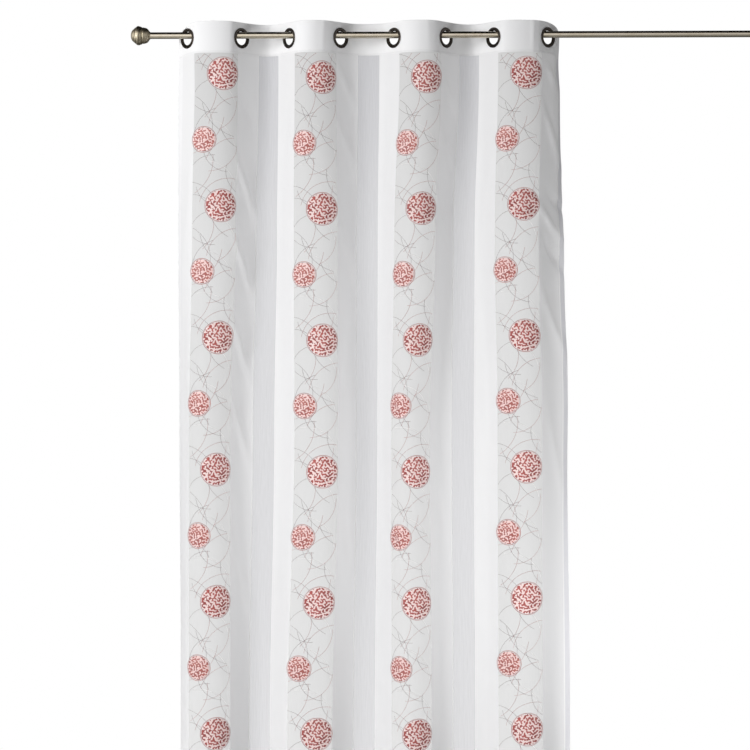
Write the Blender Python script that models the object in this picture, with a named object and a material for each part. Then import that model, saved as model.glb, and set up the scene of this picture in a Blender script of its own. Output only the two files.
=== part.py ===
"""A voile curtain hanging from eight eyelets on a round rod, at real size.

The striped voile panel hangs in uneven upright folds.  Its top is doubled behind
by a stiffened heading, and eight turned eyelets clamp the two.  The rod runs
through the eyelets, and a turned finial closes each of its ends.

Metres, +Z up, +X to the right, -Y to the front.  The origin is on the rod's
axis at mid-length.  Cloth positions are (across, height): across is measured
along the cloth from its left edge, height is the world Z before the end flaps
droop.
"""

import math
from collections import namedtuple

import bpy
from mathutils import Vector

# --- Cloth as it is cut ------------------------------------------------------
PANEL_WIDTH = 1.420
PANEL_LENGTH = 2.400
PANEL_THICKNESS = 0.0012
HEADING_DEPTH = 0.095
HEADING_THICKNESS = 0.0016
PIECE_GAP = 0.0003

# --- Eyelets -----------------------------------------------------------------
EYELET_COUNT = 8
EYELET_FROM_EDGE = 0.040
EYELET_SPACING = 0.187
EYELET_BELOW_TOP = 0.0475
EYELET_BORE_RADIUS = 0.020
EYELET_FLANGE_RADIUS = 0.0305
EYELET_BARREL_RADIUS = 0.0219
EYELET_RIM_THICKNESS = 0.0006
EYELET_RIM_ROUNDING = 0.0020
EYELET_BORE_ROUNDING = 0.0035
EYELET_SEGMENTS = 18
CLOTH_HOLE_RADIUS = 0.024

# --- Rod ---------------------------------------------------------------------
ROD_RADIUS = 0.010
ROD_LENGTH = 1.850
ROD_SEGMENTS = 24
ROD_ABOVE_EYELET_CENTRE = 0.0089
FINIAL_SEGMENTS = 20

# Finial outline from the rod's end out to the tip: the drum, its groove, the
# widest line of the head, and the blunt cone.
FinialPoint = namedtuple("FinialPoint", "from_rod radius")
FINIAL_OUTLINE = (
    FinialPoint(0.0000, 0.0104),
    FinialPoint(0.0023, 0.0125),
    FinialPoint(0.0061, 0.0180),
    FinialPoint(0.0107, 0.0218),
    FinialPoint(0.0168, 0.0238),
    FinialPoint(0.0220, 0.0246),
    FinialPoint(0.0237, 0.0232),
    FinialPoint(0.0255, 0.0256),
    FinialPoint(0.0306, 0.0276),
    FinialPoint(0.0367, 0.0288),
    FinialPoint(0.0420, 0.0263),
    FinialPoint(0.0520, 0.0178),
    FinialPoint(0.0558, 0.0130),
    FinialPoint(0.0581, 0.0070),
)
FINIAL_TIP = 0.0589

# --- Folds -------------------------------------------------------------------
# Each eyelet's own upright thread of the cloth, left to right: how far to the
# right of the curtain's middle it hangs at four heights.
CURTAIN_MIDDLE = -0.274
FoldLevels = namedtuple("FoldLevels", "rod quarter half hem")
LEVEL_HEIGHT = FoldLevels(rod=-0.100, quarter=-0.600, half=-1.180, hem=-2.100)
FOLD_THREADS = (
    FoldLevels(rod=-0.539, quarter=-0.546, half=-0.549, hem=-0.551),
    FoldLevels(rod=-0.378, quarter=-0.386, half=-0.402, hem=-0.404),
    FoldLevels(rod=-0.233, quarter=-0.236, half=-0.237, hem=-0.257),
    FoldLevels(rod=-0.080, quarter=-0.079, half=-0.077, hem=-0.092),
    FoldLevels(rod=+0.081, quarter=+0.070, half=+0.064, hem=+0.062),
    FoldLevels(rod=+0.236, quarter=+0.216, half=+0.202, hem=+0.208),
    FoldLevels(rod=+0.380, quarter=+0.370, half=+0.376, hem=+0.379),
    FoldLevels(rod=+0.541, quarter=+0.531, half=+0.542, hem=+0.545),
)
# How far the cloth's two upright edges have turned away from the front, degrees.
LEFT_EDGE_TURN = FoldLevels(rod=50, quarter=62, half=70, hem=100)
RIGHT_EDGE_TURN = FoldLevels(rod=88, quarter=27, half=36, hem=-30)

# The cloth lies flat under an eyelet's flange, and nearly so along its thread.
FLAT_AT_EYELET = 0.031
FLAT_BELOW = 0.010
LEAST_TILT_AT_EYELET = math.radians(45)

# --- Droop of the two top corners --------------------------------------------
# drop: at the edge; reach: how far in from the edge it starts; power: its curve.
Droop = namedtuple("Droop", "drop reach power")
LEFT_DROOP = Droop(drop=0.033, reach=0.090, power=2)
RIGHT_DROOP = Droop(drop=0.040, reach=0.106, power=3)
DROOP_SHARE_UNDER_HEADING = 0.33
DROOP_ENDS = -0.350

# --- Grid of the cloth -------------------------------------------------------
CELLS_AT_EYELET = 4
CELLS_IN_BAY = 9
CELLS_RIGHT_FLAP = 4
# Heights of the rows between heading and hem, closer where the folds change faster.
PANEL_ROWS = (-0.200, -0.350, -0.500, -0.700, -0.940, -1.200, -1.600, -2.000)
CURVE_STEPS = 60
BISECTION_STEPS = 40
SHARP_ANGLE = math.radians(40)
LEAST_TILT = math.radians(1)
MOST_TILT = math.radians(85)

# --- Worked out --------------------------------------------------------------
EYELET_HEIGHT = -ROD_ABOVE_EYELET_CENTRE
TOP_HEIGHT = EYELET_HEIGHT + EYELET_BELOW_TOP
HEADING_FOOT = TOP_HEIGHT - HEADING_DEPTH
HEM_HEIGHT = TOP_HEIGHT - PANEL_LENGTH
STACK_THICKNESS = PANEL_THICKNESS + PIECE_GAP + HEADING_THICKNESS
PANEL_FORWARD = (STACK_THICKNESS - PANEL_THICKNESS) / 2
HEADING_BACK = (STACK_THICKNESS - HEADING_THICKNESS) / 2
EYELET_ACROSS = [EYELET_FROM_EDGE + i * EYELET_SPACING for i in range(EYELET_COUNT)]


def smooth(share):
    """Ease a share from 0 to 1 with level ends."""
    share = min(max(share, 0.0), 1.0)
    return share * share * (3.0 - 2.0 * share)


def at_height(levels, height):
    """Read a FoldLevels value at a height, eased between its four levels."""
    if height >= LEVEL_HEIGHT[0]:
        return levels[0]
    for upper in range(len(levels) - 1):
        top, bottom = LEVEL_HEIGHT[upper], LEVEL_HEIGHT[upper + 1]
        if height >= bottom:
            share = smooth((top - height) / (top - bottom))
            return levels[upper] + share * (levels[upper + 1] - levels[upper])
    return levels[-1]


def bisect(rising, target, low, high):
    """Find where a rising function reaches the target."""
    for _ in range(BISECTION_STEPS):
        middle = (low + high) / 2
        if rising(middle) < target:
            low = middle
        else:
            high = middle
    return (low + high) / 2


def natural_tilt(fullness, flat_share):
    """Tilt at the threads of a bay whose width is this share of its cloth."""
    def lost(tilt):
        return 1.0 - flat_share * math.cos(tilt) - (1.0 - flat_share) * math.sin(tilt) / tilt

    return bisect(lost, 1.0 - fullness, LEAST_TILT, MOST_TILT)


def flat_half_length(height):
    """Half of the straight stretch of cloth at each thread."""
    share = smooth((HEADING_FOOT - height) / (HEADING_FOOT - LEVEL_HEIGHT.quarter))
    return FLAT_AT_EYELET + share * (FLAT_BELOW - FLAT_AT_EYELET)


def thread_tilts(threads, height):
    """Tilt of the cloth at each thread, the mean of what its two bays ask for."""
    flat_share = 2 * flat_half_length(height) / EYELET_SPACING
    wanted = [
        natural_tilt((right - left) / EYELET_SPACING, flat_share)
        for left, right in zip(threads, threads[1:])
    ]
    tilts = [(a + b) / 2 for a, b in zip([wanted[0]] + wanted, wanted + [wanted[-1]])]
    least = LEAST_TILT_AT_EYELET * (1.0 - smooth((HEADING_FOOT - height) / -LEVEL_HEIGHT.quarter))
    return [max(tilt, least) for tilt in tilts]


def fold_curve(start, start_way, end, end_way, handle):
    """Points of one bay's rounded fold, a cubic curve with equal handles."""
    first = start + handle * start_way
    second = end - handle * end_way
    points = []
    for step in range(CURVE_STEPS + 1):
        t = step / CURVE_STEPS
        u = 1.0 - t
        near_start = u**3 * start + 3 * u * u * t * first
        near_end = 3 * u * t * t * second + t**3 * end
        points.append(near_start + near_end)
    return points


def curve_length(points):
    """Length along a run of points."""
    return sum((b - a).length for a, b in zip(points, points[1:]))


def turning_run(start, way, end_angle, length):
    """Points of an end flap, whose direction turns evenly to the edge's angle."""
    points = [start]
    start_angle = math.atan2(way.y, way.x)
    for step in range(CURVE_STEPS):
        angle = start_angle + (step + 0.5) / CURVE_STEPS * (end_angle - start_angle)
        points.append(points[-1] + length / CURVE_STEPS * Vector((math.cos(angle), math.sin(angle))))
    return points


def along(points, distance):
    """The point and the direction at a distance along a run of points."""
    for a, b in zip(points, points[1:]):
        step = (b - a).length
        if distance <= step or b is points[-1]:
            way = (b - a) / step
            return a + distance * way, way
        distance -= step


class FoldPlan:
    """The cloth's line seen from above at one height."""

    def __init__(self, height):
        self.flat = flat_half_length(height)
        threads = [CURTAIN_MIDDLE + at_height(levels, height) for levels in FOLD_THREADS]
        tilts = thread_tilts(threads, height)
        self.threads = [Vector((x, 0.0)) for x in threads]
        # The cloth comes forward through even threads and goes back through odd ones.
        self.ways = [
            Vector((math.cos(tilt), math.sin(tilt) * (-1 if i % 2 == 0 else 1)))
            for i, tilt in enumerate(tilts)
        ]
        self.bays = [self.bay(i) for i in range(EYELET_COUNT - 1)]
        left_edge = math.pi - math.radians(at_height(LEFT_EDGE_TURN, height))
        right_edge = math.radians(at_height(RIGHT_EDGE_TURN, height))
        left_start = self.threads[0] - self.flat * self.ways[0]
        right_start = self.threads[-1] + self.flat * self.ways[-1]
        left_length = EYELET_ACROSS[0] - self.flat
        right_length = PANEL_WIDTH - EYELET_ACROSS[-1] - self.flat
        self.left_flap = turning_run(left_start, -self.ways[0], left_edge, left_length)
        self.right_flap = turning_run(right_start, self.ways[-1], right_edge, right_length)

    def bay(self, index):
        """The rounded fold between two threads, as long as the cloth between them."""
        start = self.threads[index] + self.flat * self.ways[index]
        end = self.threads[index + 1] - self.flat * self.ways[index + 1]
        cloth = EYELET_SPACING - 2 * self.flat

        def points(handle):
            return fold_curve(start, self.ways[index], end, self.ways[index + 1], handle)

        handle = bisect(lambda h: curve_length(points(h)), cloth, 0.0, cloth)
        return points(handle)

    def at(self, across):
        """The point (x, y) and the direction of the cloth at a distance across it."""
        nearest = round((across - EYELET_FROM_EDGE) / EYELET_SPACING)
        nearest = min(max(nearest, 0), EYELET_COUNT - 1)
        beyond = across - EYELET_ACROSS[nearest]
        if abs(beyond) <= self.flat:
            return self.threads[nearest] + beyond * self.ways[nearest], self.ways[nearest]
        if nearest == 0 and beyond < 0:
            point, way = along(self.left_flap, -beyond - self.flat)
            return point, -way
        if nearest == EYELET_COUNT - 1 and beyond > 0:
            return along(self.right_flap, beyond - self.flat)
        bay = nearest if beyond > 0 else nearest - 1
        return along(self.bays[bay], across - EYELET_ACROSS[bay] - self.flat)


def droop(across, height):
    """How far the cloth has dropped near the two top corners."""
    left = max(0.0, 1.0 - across / LEFT_DROOP.reach) ** LEFT_DROOP.power
    right = max(0.0, 1.0 - (PANEL_WIDTH - across) / RIGHT_DROOP.reach) ** RIGHT_DROOP.power
    if height > HEADING_FOOT:
        share = 1.0 - (1.0 - DROOP_SHARE_UNDER_HEADING) * (TOP_HEIGHT - height) / HEADING_DEPTH
    else:
        share = DROOP_SHARE_UNDER_HEADING * max(0.0, (height - DROOP_ENDS) / (HEADING_FOOT - DROOP_ENDS))
    return share * (LEFT_DROOP.drop * left + RIGHT_DROOP.drop * right)


def cloth_columns():
    """Distances across the cloth of the grid's columns, and each eyelet's first column."""
    columns = [0.0]
    first_columns = []
    for i, thread in enumerate(EYELET_ACROSS):
        start = thread - FLAT_AT_EYELET
        if i:
            before = columns[-1]
            columns += [before + (start - before) * k / CELLS_IN_BAY for k in range(1, CELLS_IN_BAY)]
        first_columns.append(len(columns))
        cell = 2 * FLAT_AT_EYELET / CELLS_AT_EYELET
        columns += [start + k * cell for k in range(CELLS_AT_EYELET + 1)]
    before = columns[-1]
    flap = PANEL_WIDTH - before
    columns += [before + flap * k / CELLS_RIGHT_FLAP for k in range(1, CELLS_RIGHT_FLAP + 1)]
    return columns, first_columns


def square_ring(size):
    """Grid steps (column, row) once round a square of cells, from its lower left corner."""
    steps = [(k, 0) for k in range(size)] + [(size, k) for k in range(size)]
    steps += [(size - k, size) for k in range(size)] + [(0, size - k) for k in range(size)]
    return steps


def cloth_point(plan, across, height, forward):
    """World place of a point of the cloth, moved forward along the cloth's normal."""
    point, way = plan.at(across)
    normal = Vector((way.y, -way.x))
    place = point + forward * normal
    return Vector((place.x, place.y, height - droop(across, height)))


def cloth_mesh(name, lower_rows, forward):
    """A single layer of the cloth from its top edge down, with a hole at each eyelet."""
    columns, first_columns = cloth_columns()
    cell = 2 * FLAT_AT_EYELET / CELLS_AT_EYELET
    eyelet_rows = [EYELET_HEIGHT - FLAT_AT_EYELET + k * cell for k in range(CELLS_AT_EYELET + 1)]
    rows = sorted(lower_rows) + eyelet_rows + [TOP_HEIGHT]
    first_row = len(lower_rows)
    plans = [FoldPlan(height) for height in rows]
    points = [
        [cloth_point(plan, across, height, forward) for across in columns]
        for plan, height in zip(plans, rows)
    ]

    # Round each eyelet the grid's square becomes a circle, and a second circle is the hole.
    holes = []
    ring = square_ring(CELLS_AT_EYELET)
    plan = plans[first_row]
    for i, first_column in enumerate(first_columns):
        way = plan.ways[i]
        centre = plan.threads[i] + forward * Vector((way.y, -way.x))
        hole = []
        for k, (column, row) in enumerate(ring):
            angle = math.radians(225) + 2 * math.pi * k / len(ring)
            spoke = Vector((way.x * math.cos(angle), way.y * math.cos(angle), math.sin(angle)))
            middle = Vector((centre.x, centre.y, EYELET_HEIGHT))
            points[first_row + row][first_column + column] = middle + FLAT_AT_EYELET * spoke
            hole.append(middle + CLOTH_HOLE_RADIUS * spoke)
        holes.append(hole)

    inside = {
        (first_row + row, first_column + column)
        for first_column in first_columns
        for row in range(CELLS_AT_EYELET)
        for column in range(CELLS_AT_EYELET)
    }
    vertices = []
    index = {}

    def number(key, place):
        if key not in index:
            index[key] = len(vertices)
            vertices.append(place)
        return index[key]

    faces = []
    for row in range(len(rows) - 1):
        for column in range(len(columns) - 1):
            if (row, column) in inside:
                continue
            corners = ((row, column), (row, column + 1), (row + 1, column + 1), (row + 1, column))
            faces.append([number(corner, points[corner[0]][corner[1]]) for corner in corners])
    for first_column, hole in zip(first_columns, holes):
        rim = [(first_row + row, first_column + column) for column, row in ring]
        for k, corner in enumerate(rim):
            following = rim[(k + 1) % len(rim)]
            faces.append([
                number(corner, points[corner[0]][corner[1]]),
                number(following, points[following[0]][following[1]]),
                number(("hole", first_column, (k + 1) % len(rim)), hole[(k + 1) % len(rim)]),
                number(("hole", first_column, k), hole[k]),
            ])
    mesh = bpy.data.meshes.new(name)
    mesh.from_pydata(vertices, [], faces)
    mesh.shade_smooth()
    return mesh


def turned_mesh(name, outline, segments, closed):
    """Turn an outline of (along X, radius) about X.

    A closed outline makes a ring, and runs along its outer side towards +X.  An
    open one runs towards +X too, and makes a body with flat ends, or with a point
    where its last radius is 0.
    """
    vertices = []
    rings = []
    for place, radius in outline:
        if radius == 0.0:
            rings.append([len(vertices)])
            vertices.append((place, 0.0, 0.0))
            continue
        rings.append(list(range(len(vertices), len(vertices) + segments)))
        for k in range(segments):
            angle = 2 * math.pi * (k + 0.5) / segments + math.pi / 2
            vertices.append((place, radius * math.cos(angle), radius * math.sin(angle)))
    faces = []
    pairs = list(zip(rings, rings[1:]))
    if closed:
        pairs.append((rings[-1], rings[0]))
    for near, far in pairs:
        for k in range(segments):
            following = (k + 1) % segments
            if len(far) == 1:
                faces.append([near[k], near[following], far[0]])
            else:
                faces.append([near[k], near[following], far[following], far[k]])
    if not closed:
        faces.append(rings[0][::-1])
        if len(rings[-1]) > 1:
            faces.append(rings[-1])
    mesh = bpy.data.meshes.new(name)
    mesh.from_pydata(vertices, [], faces)
    mesh.shade_smooth()
    mesh.set_sharp_from_angle(angle=SHARP_ANGLE)
    return mesh


def material(name, colour, roughness, metallic=0.0):
    """A plain finish for one kind of piece."""
    made = bpy.data.materials.new(name)
    made.use_nodes = True
    shader = made.node_tree.nodes["Principled BSDF"]
    shader.inputs["Base Color"].default_value = (*colour, 1.0)
    shader.inputs["Roughness"].default_value = roughness
    shader.inputs["Metallic"].default_value = metallic
    return made


def add_object(name, mesh, finish):
    """Put a mesh in the scene as a named piece."""
    if not mesh.materials:
        mesh.materials.append(finish)
    made = bpy.data.objects.new(name, mesh)
    bpy.context.collection.objects.link(made)
    return made


def add_cloth(name, lower_rows, forward, thickness, finish):
    """Give a single layer of the cloth its thickness, half to each side."""
    made = add_object(name, cloth_mesh(name, lower_rows, forward), finish)
    solidify = made.modifiers.new("thickness", "SOLIDIFY")
    solidify.thickness = thickness
    solidify.offset = 0.0
    return made


def eyelet_outline():
    """Section of an eyelet: a rounded bore, two flanges, and the barrel between them."""
    flange_face = STACK_THICKNESS / 2 + PIECE_GAP
    bore_centre = EYELET_BORE_RADIUS + EYELET_BORE_ROUNDING
    bore = [
        (EYELET_BORE_ROUNDING * math.sin(angle), bore_centre - EYELET_BORE_ROUNDING * math.cos(angle))
        for angle in map(math.radians, (-80, -40, 0, 40, 80))
    ]
    flange = [
        (flange_face + 2 * EYELET_RIM_THICKNESS, EYELET_FLANGE_RADIUS - EYELET_RIM_ROUNDING),
        (flange_face + EYELET_RIM_THICKNESS, EYELET_FLANGE_RADIUS),
        (flange_face, EYELET_FLANGE_RADIUS),
        (flange_face, EYELET_BARREL_RADIUS),
    ]
    mirrored = [(-along_axis, radius) for along_axis, radius in reversed(flange)]
    return (bore + flange + mirrored)[::-1]


def add_eyelets(finish):
    """Clamp one eyelet round each hole, square to the cloth there."""
    mesh = turned_mesh("eyelet", eyelet_outline(), EYELET_SEGMENTS, closed=True)
    plan = FoldPlan(EYELET_HEIGHT)
    for i, (thread, way) in enumerate(zip(plan.threads, plan.ways)):
        eyelet = add_object(f"eyelet_{i + 1}", mesh, finish)
        eyelet.location = (thread.x, thread.y, EYELET_HEIGHT)
        eyelet.rotation_euler.z = math.atan2(-way.x, way.y)


def add_rod(finish):
    """The round rod, with one of its facets level underneath."""
    half = ROD_LENGTH / 2
    mesh = turned_mesh("rod", [(-half, ROD_RADIUS), (half, ROD_RADIUS)], ROD_SEGMENTS, closed=False)
    add_object("rod", mesh, finish)


def add_finials(finish):
    """A turned finial closing each end of the rod."""
    outline = [tuple(point) for point in FINIAL_OUTLINE] + [(FINIAL_TIP, 0.0)]
    mesh = turned_mesh("finial", outline, FINIAL_SEGMENTS, closed=False)
    for name, side in (("finial_left", -1), ("finial_right", 1)):
        finial = add_object(name, mesh, finish)
        finial.location.x = side * (ROD_LENGTH / 2 + PIECE_GAP)
        finial.rotation_euler.z = math.pi if side < 0 else 0.0


def main():
    """Build every piece of the curtain and its rod."""
    for old in list(bpy.data.objects):
        bpy.data.objects.remove(old)
    voile = material("white voile", (0.86, 0.86, 0.88), 0.80)
    heading_cloth = material("white stiffened heading", (0.90, 0.90, 0.91), 0.75)
    dark_metal = material("dark polished metal", (0.045, 0.042, 0.040), 0.22, 1.0)
    antique_metal = material("brushed antique metal", (0.42, 0.38, 0.31), 0.34, 1.0)
    add_cloth("voile_panel", [HEM_HEIGHT, *PANEL_ROWS, HEADING_FOOT], PANEL_FORWARD, PANEL_THICKNESS, voile)
    add_cloth("heading_band", [HEADING_FOOT], -HEADING_BACK, HEADING_THICKNESS, heading_cloth)
    add_eyelets(dark_metal)
    add_rod(antique_metal)
    add_finials(antique_metal)


main()
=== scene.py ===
"""Looks of a sheer striped voile curtain on a round metal rod with turned finials.

The panel is one fine sheet of cloth that hangs in uneven upright folds.  Satin
stripes run down it between two kinds of sheer stripe, and every second sheer
stripe carries coral embroidered discs among fine crossing arcs.  The top is turned
over a stiffener and held by eight dark plated eyelets.

Metres throughout, +Z up, +X to the right, -Y to the front, origin on the rod's axis.
Cloth positions are (across, height, forward): across is measured along the cloth
from its left edge, height is the world Z before the top corners droop, and forward
is the distance from the middle of the doubled heading towards the room.
"""

import logging
import math
import random
from collections.abc import Callable, Iterable, Sequence
from dataclasses import dataclass, field
from enum import Enum

import bpy
import numpy as np
from mathutils import Matrix, Vector


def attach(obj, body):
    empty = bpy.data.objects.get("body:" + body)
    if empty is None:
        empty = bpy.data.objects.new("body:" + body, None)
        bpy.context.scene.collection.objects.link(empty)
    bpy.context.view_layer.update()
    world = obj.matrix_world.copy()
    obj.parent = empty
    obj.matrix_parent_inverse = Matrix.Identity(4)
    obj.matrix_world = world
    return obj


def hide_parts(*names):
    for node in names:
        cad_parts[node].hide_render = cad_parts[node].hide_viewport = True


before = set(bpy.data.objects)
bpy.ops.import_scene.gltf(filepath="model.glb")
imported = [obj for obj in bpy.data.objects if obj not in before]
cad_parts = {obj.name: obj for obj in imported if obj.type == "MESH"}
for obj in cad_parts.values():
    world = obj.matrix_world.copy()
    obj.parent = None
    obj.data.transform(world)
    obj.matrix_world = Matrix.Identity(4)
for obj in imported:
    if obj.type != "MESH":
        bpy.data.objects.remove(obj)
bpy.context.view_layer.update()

LOG = logging.getLogger("curtain")
BODY = "root"
CLOTH_MAP = "cloth"
HOLLOW = "hollow_mm"
BISECTIONS = 40
SHARP_ANGLE = math.radians(35)
NOISE_SPAN = (0.3, 0.7)

Array = np.ndarray
Face = tuple[int, ...]
Pair = tuple[float, float]
Point = tuple[float, float, float]
Material = bpy.types.Material
Mesh = bpy.types.Mesh
Piece = bpy.types.Object
Socket = bpy.types.NodeSocket

# --- Cloth as it is cut, the same sizes as in the solids ----------------------
PANEL_WIDTH = 1.420
PANEL_LENGTH = 2.400
HEADING_DEPTH = 0.095
PANEL_FORWARD = 0.00095
HEADING_BACK = 0.00075
EYELET_COUNT = 8
EYELET_FROM_EDGE = 0.040
EYELET_SPACING = 0.187
EYELET_BELOW_TOP = 0.0475
ROD_ABOVE_EYELET_CENTRE = 0.0089
CLOTH_HOLE_RADIUS = 0.024
SIDE_HEM = 0.018
FLAT_AT_EYELET = 0.031
FLAT_BELOW = 0.010
CURTAIN_MIDDLE = -0.274

EYELET_HEIGHT = -ROD_ABOVE_EYELET_CENTRE
TOP_HEIGHT = EYELET_HEIGHT + EYELET_BELOW_TOP
HEADING_FOOT = TOP_HEIGHT - HEADING_DEPTH
HEM_HEIGHT = TOP_HEIGHT - PANEL_LENGTH
EYELET_ACROSS = [EYELET_FROM_EDGE + i * EYELET_SPACING for i in range(EYELET_COUNT)]


# --- Small helpers ------------------------------------------------------------
def linear(hex_colour: str) -> tuple[float, float, float, float]:
    """Turn an sRGB hex colour "#RRGGBB" into linear RGBA, as Blender's sockets take it."""
    shares = [int(hex_colour[i : i + 2], 16) / 255 for i in (1, 3, 5)]
    return (*(s / 12.92 if s <= 0.04045 else ((s + 0.055) / 1.055) ** 2.4 for s in shares), 1.0)


def eased(share: Array) -> Array:
    """Ease shares from 0 to 1 with level ends."""
    share = np.clip(share, 0.0, 1.0)
    return share * share * (3.0 - 2.0 * share)


def bisected(rising: Callable[[Array], Array], target: Array, low: float, high: float) -> Array:
    """Find where rising functions reach their targets, all at once.

    Args:
        rising: Takes trial values shaped like the target and gives what they reach.
        target: The wanted results.
        low: A value below every answer.
        high: A value above every answer.

    Returns:
        The answers, shaped like the target.
    """
    lows, highs = np.full_like(target, low), np.full_like(target, high)
    for _ in range(BISECTIONS):
        middles = (lows + highs) / 2
        short = rising(middles) < target
        lows, highs = np.where(short, middles, lows), np.where(short, highs, middles)
    return (lows + highs) / 2


def faces_between(near: list[int], far: list[int], along_first: bool = True) -> list[Face]:
    """Faces between two closed rings of points, of which either may be a single point.

    Args:
        near: The points of the first ring.
        far: The points of the second ring.
        along_first: True if a face starts along the near ring, False if it crosses first.

    Returns:
        One face for each step round the rings.
    """
    count = max(len(near), len(far))
    faces = []
    for k in range(count):
        after = (k + 1) % count
        face = [near[k % len(near)], near[after % len(near)], far[after % len(far)], far[k % len(far)]]
        if not along_first:
            face[1], face[3] = face[3], face[1]
        faces.append(tuple(dict.fromkeys(face)))
    return faces


def new_object(name: str, mesh: Mesh, finish: Material | None) -> Piece:
    """Put a mesh in the scene at the origin, with a finish if it has none of its own.

    Args:
        name: Its name.
        mesh: Its mesh.
        finish: Its material, or None if the mesh has its own.

    Returns:
        The new object.
    """
    if finish is not None and not mesh.materials:
        mesh.materials.append(finish)
    made = bpy.data.objects.new(name, mesh)
    bpy.context.collection.objects.link(made)
    return made


def dress(piece: Piece, slot: str, *nodes: str) -> Piece:
    """Let a piece ride on the part, hide the solids it stands for, and log it with its material slot.

    Args:
        piece: The finished piece.
        slot: Its material slot's name, which is only logged.
        *nodes: The CAD nodes that it replaces.

    Returns:
        The same piece.
    """
    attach(piece, BODY)
    if nodes:
        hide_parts(*nodes)
    LOG.info("%s: %d faces, slot %s", piece.name, len(piece.data.polygons), slot)
    return piece


class Nodes:
    """A node tree, with short ways to add the nodes that several finishes share."""

    def __init__(self, tree: bpy.types.NodeTree) -> None:
        """Empty a tree and take it over."""
        tree.nodes.clear()
        self.tree = tree

    def add(self, kind: str, inputs: dict | None = None, **settings: object) -> bpy.types.Node:
        """Add one node.

        Args:
            kind: The node's Blender type.
            inputs: By socket name or index, a socket to link from or a value to set.
            **settings: The node's own properties.

        Returns:
            The new node.
        """
        node = self.tree.nodes.new(kind)
        for name, value in settings.items():
            setattr(node, name, value)
        for key, value in (inputs or {}).items():
            if isinstance(value, Socket):
                self.tree.links.new(value, node.inputs[key])
            else:
                node.inputs[key].default_value = value
        return node

    def out(self, kind: str, inputs: dict | None = None, **settings: object) -> Socket:
        """Add one node and give its first output."""
        return self.add(kind, inputs, **settings).outputs[0]

    def math(self, operation: str, *values: Socket | float) -> Socket:
        """Work out one sum."""
        return self.out("ShaderNodeMath", dict(enumerate(values)), operation=operation)

    def scaled(self, vector: Socket, scale: Point) -> Socket:
        """A vector stretched along each axis."""
        return self.out("ShaderNodeVectorMath", {0: vector, 1: scale}, operation="MULTIPLY")

    def ranged(
        self,
        value: Socket,
        low: Socket | float,
        high: Socket | float,
        start: float = 0.0,
        end: float = 1.0,
        **settings: object,
    ) -> Socket:
        """A value's range from low to high, laid onto the range from start to end."""
        given = {0: value, 1: low, 2: high, 3: start, 4: end}
        return self.out("ShaderNodeMapRange", given, **settings)

    def noise(self, vector: Socket, scale: float, detail: float) -> Socket:
        """Soft noise from 0 to 1."""
        return self.out("ShaderNodeTexNoise", {"Vector": vector, "Scale": scale, "Detail": detail})

    def layered(self, base: Socket | float, *layers: tuple[Socket, Socket | float]) -> Socket:
        """Lay numbers over a base in turn, each through its mask.

        Args:
            base: The number where no mask shows.
            layers: A mask and a number for each layer, the lowest first.

        Returns:
            The number that shows.
        """
        for mask, value in layers:
            base = self.out("ShaderNodeMix", {0: mask, 2: base, 3: value})
        return base

    def painted(self, base: Socket | str, *layers: tuple[Socket, Socket | str]) -> Socket:
        """Lay colours over a base in turn, each through its mask; hex colours are sRGB.

        Args:
            base: The colour where no mask shows.
            layers: A mask and a colour for each layer, the lowest first.

        Returns:
            The colour that shows.
        """
        for mask, colour in layers:
            below, above = (linear(c) if isinstance(c, str) else c for c in (base, colour))
            mix = self.add("ShaderNodeMix", {0: mask, 6: below, 7: above}, data_type="RGBA")
            base = mix.outputs[2]
        return base

    def bump(self, height: Socket, distance: float) -> Socket:
        """The normal of a surface raised by a height."""
        return self.out("ShaderNodeBump", {"Height": height, "Distance": distance})

    def surface(self, shader: Socket) -> None:
        """End the tree in a material's surface."""
        self.add("ShaderNodeOutputMaterial", {"Surface": shader})

    def principled(self, looks: dict[str, object]) -> None:
        """End the tree in one principled shader."""
        self.surface(self.out("ShaderNodeBsdfPrincipled", looks))


def new_finish(name: str) -> tuple[Material, Nodes]:
    """A material, and its node tree left empty.

    Args:
        name: The material's name.

    Returns:
        The material, and the nodes to fill it with.
    """
    made = bpy.data.materials.new(name)
    made.use_nodes = True
    return made, Nodes(made.node_tree)


# --- The folds ----------------------------------------------------------------
LEVEL_HEIGHTS = (-0.100, -0.600, -1.180, -2.100)


@dataclass(frozen=True)
class FoldLevels:
    """One value at each of the four heights where the folds are set."""

    rod: float
    quarter: float
    half: float
    hem: float

    def at(self, heights: Array) -> Array:
        """Read the value at any heights, eased between the four.

        Args:
            heights: World heights.

        Returns:
            The value at each height.
        """
        values = (self.rod, self.quarter, self.half, self.hem)
        result = np.full_like(heights, self.rod)
        for top, bottom, above, below in zip(LEVEL_HEIGHTS, LEVEL_HEIGHTS[1:], values, values[1:]):
            result += (below - above) * eased((top - heights) / (top - bottom))
        return result


# How far to the right of the curtain's middle each eyelet's upright thread hangs.
FOLD_THREADS = (
    FoldLevels(-0.539, -0.546, -0.549, -0.551),
    FoldLevels(-0.378, -0.386, -0.402, -0.404),
    FoldLevels(-0.233, -0.236, -0.237, -0.257),
    FoldLevels(-0.080, -0.079, -0.077, -0.092),
    FoldLevels(+0.081, +0.070, +0.064, +0.062),
    FoldLevels(+0.236, +0.216, +0.202, +0.208),
    FoldLevels(+0.380, +0.370, +0.376, +0.379),
    FoldLevels(+0.541, +0.531, +0.542, +0.545),
)
# How far the cloth's two upright edges have turned away from the front, degrees.
LEFT_EDGE_TURN = FoldLevels(50, 62, 70, 100)
RIGHT_EDGE_TURN = FoldLevels(88, 27, 36, -30)


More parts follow.
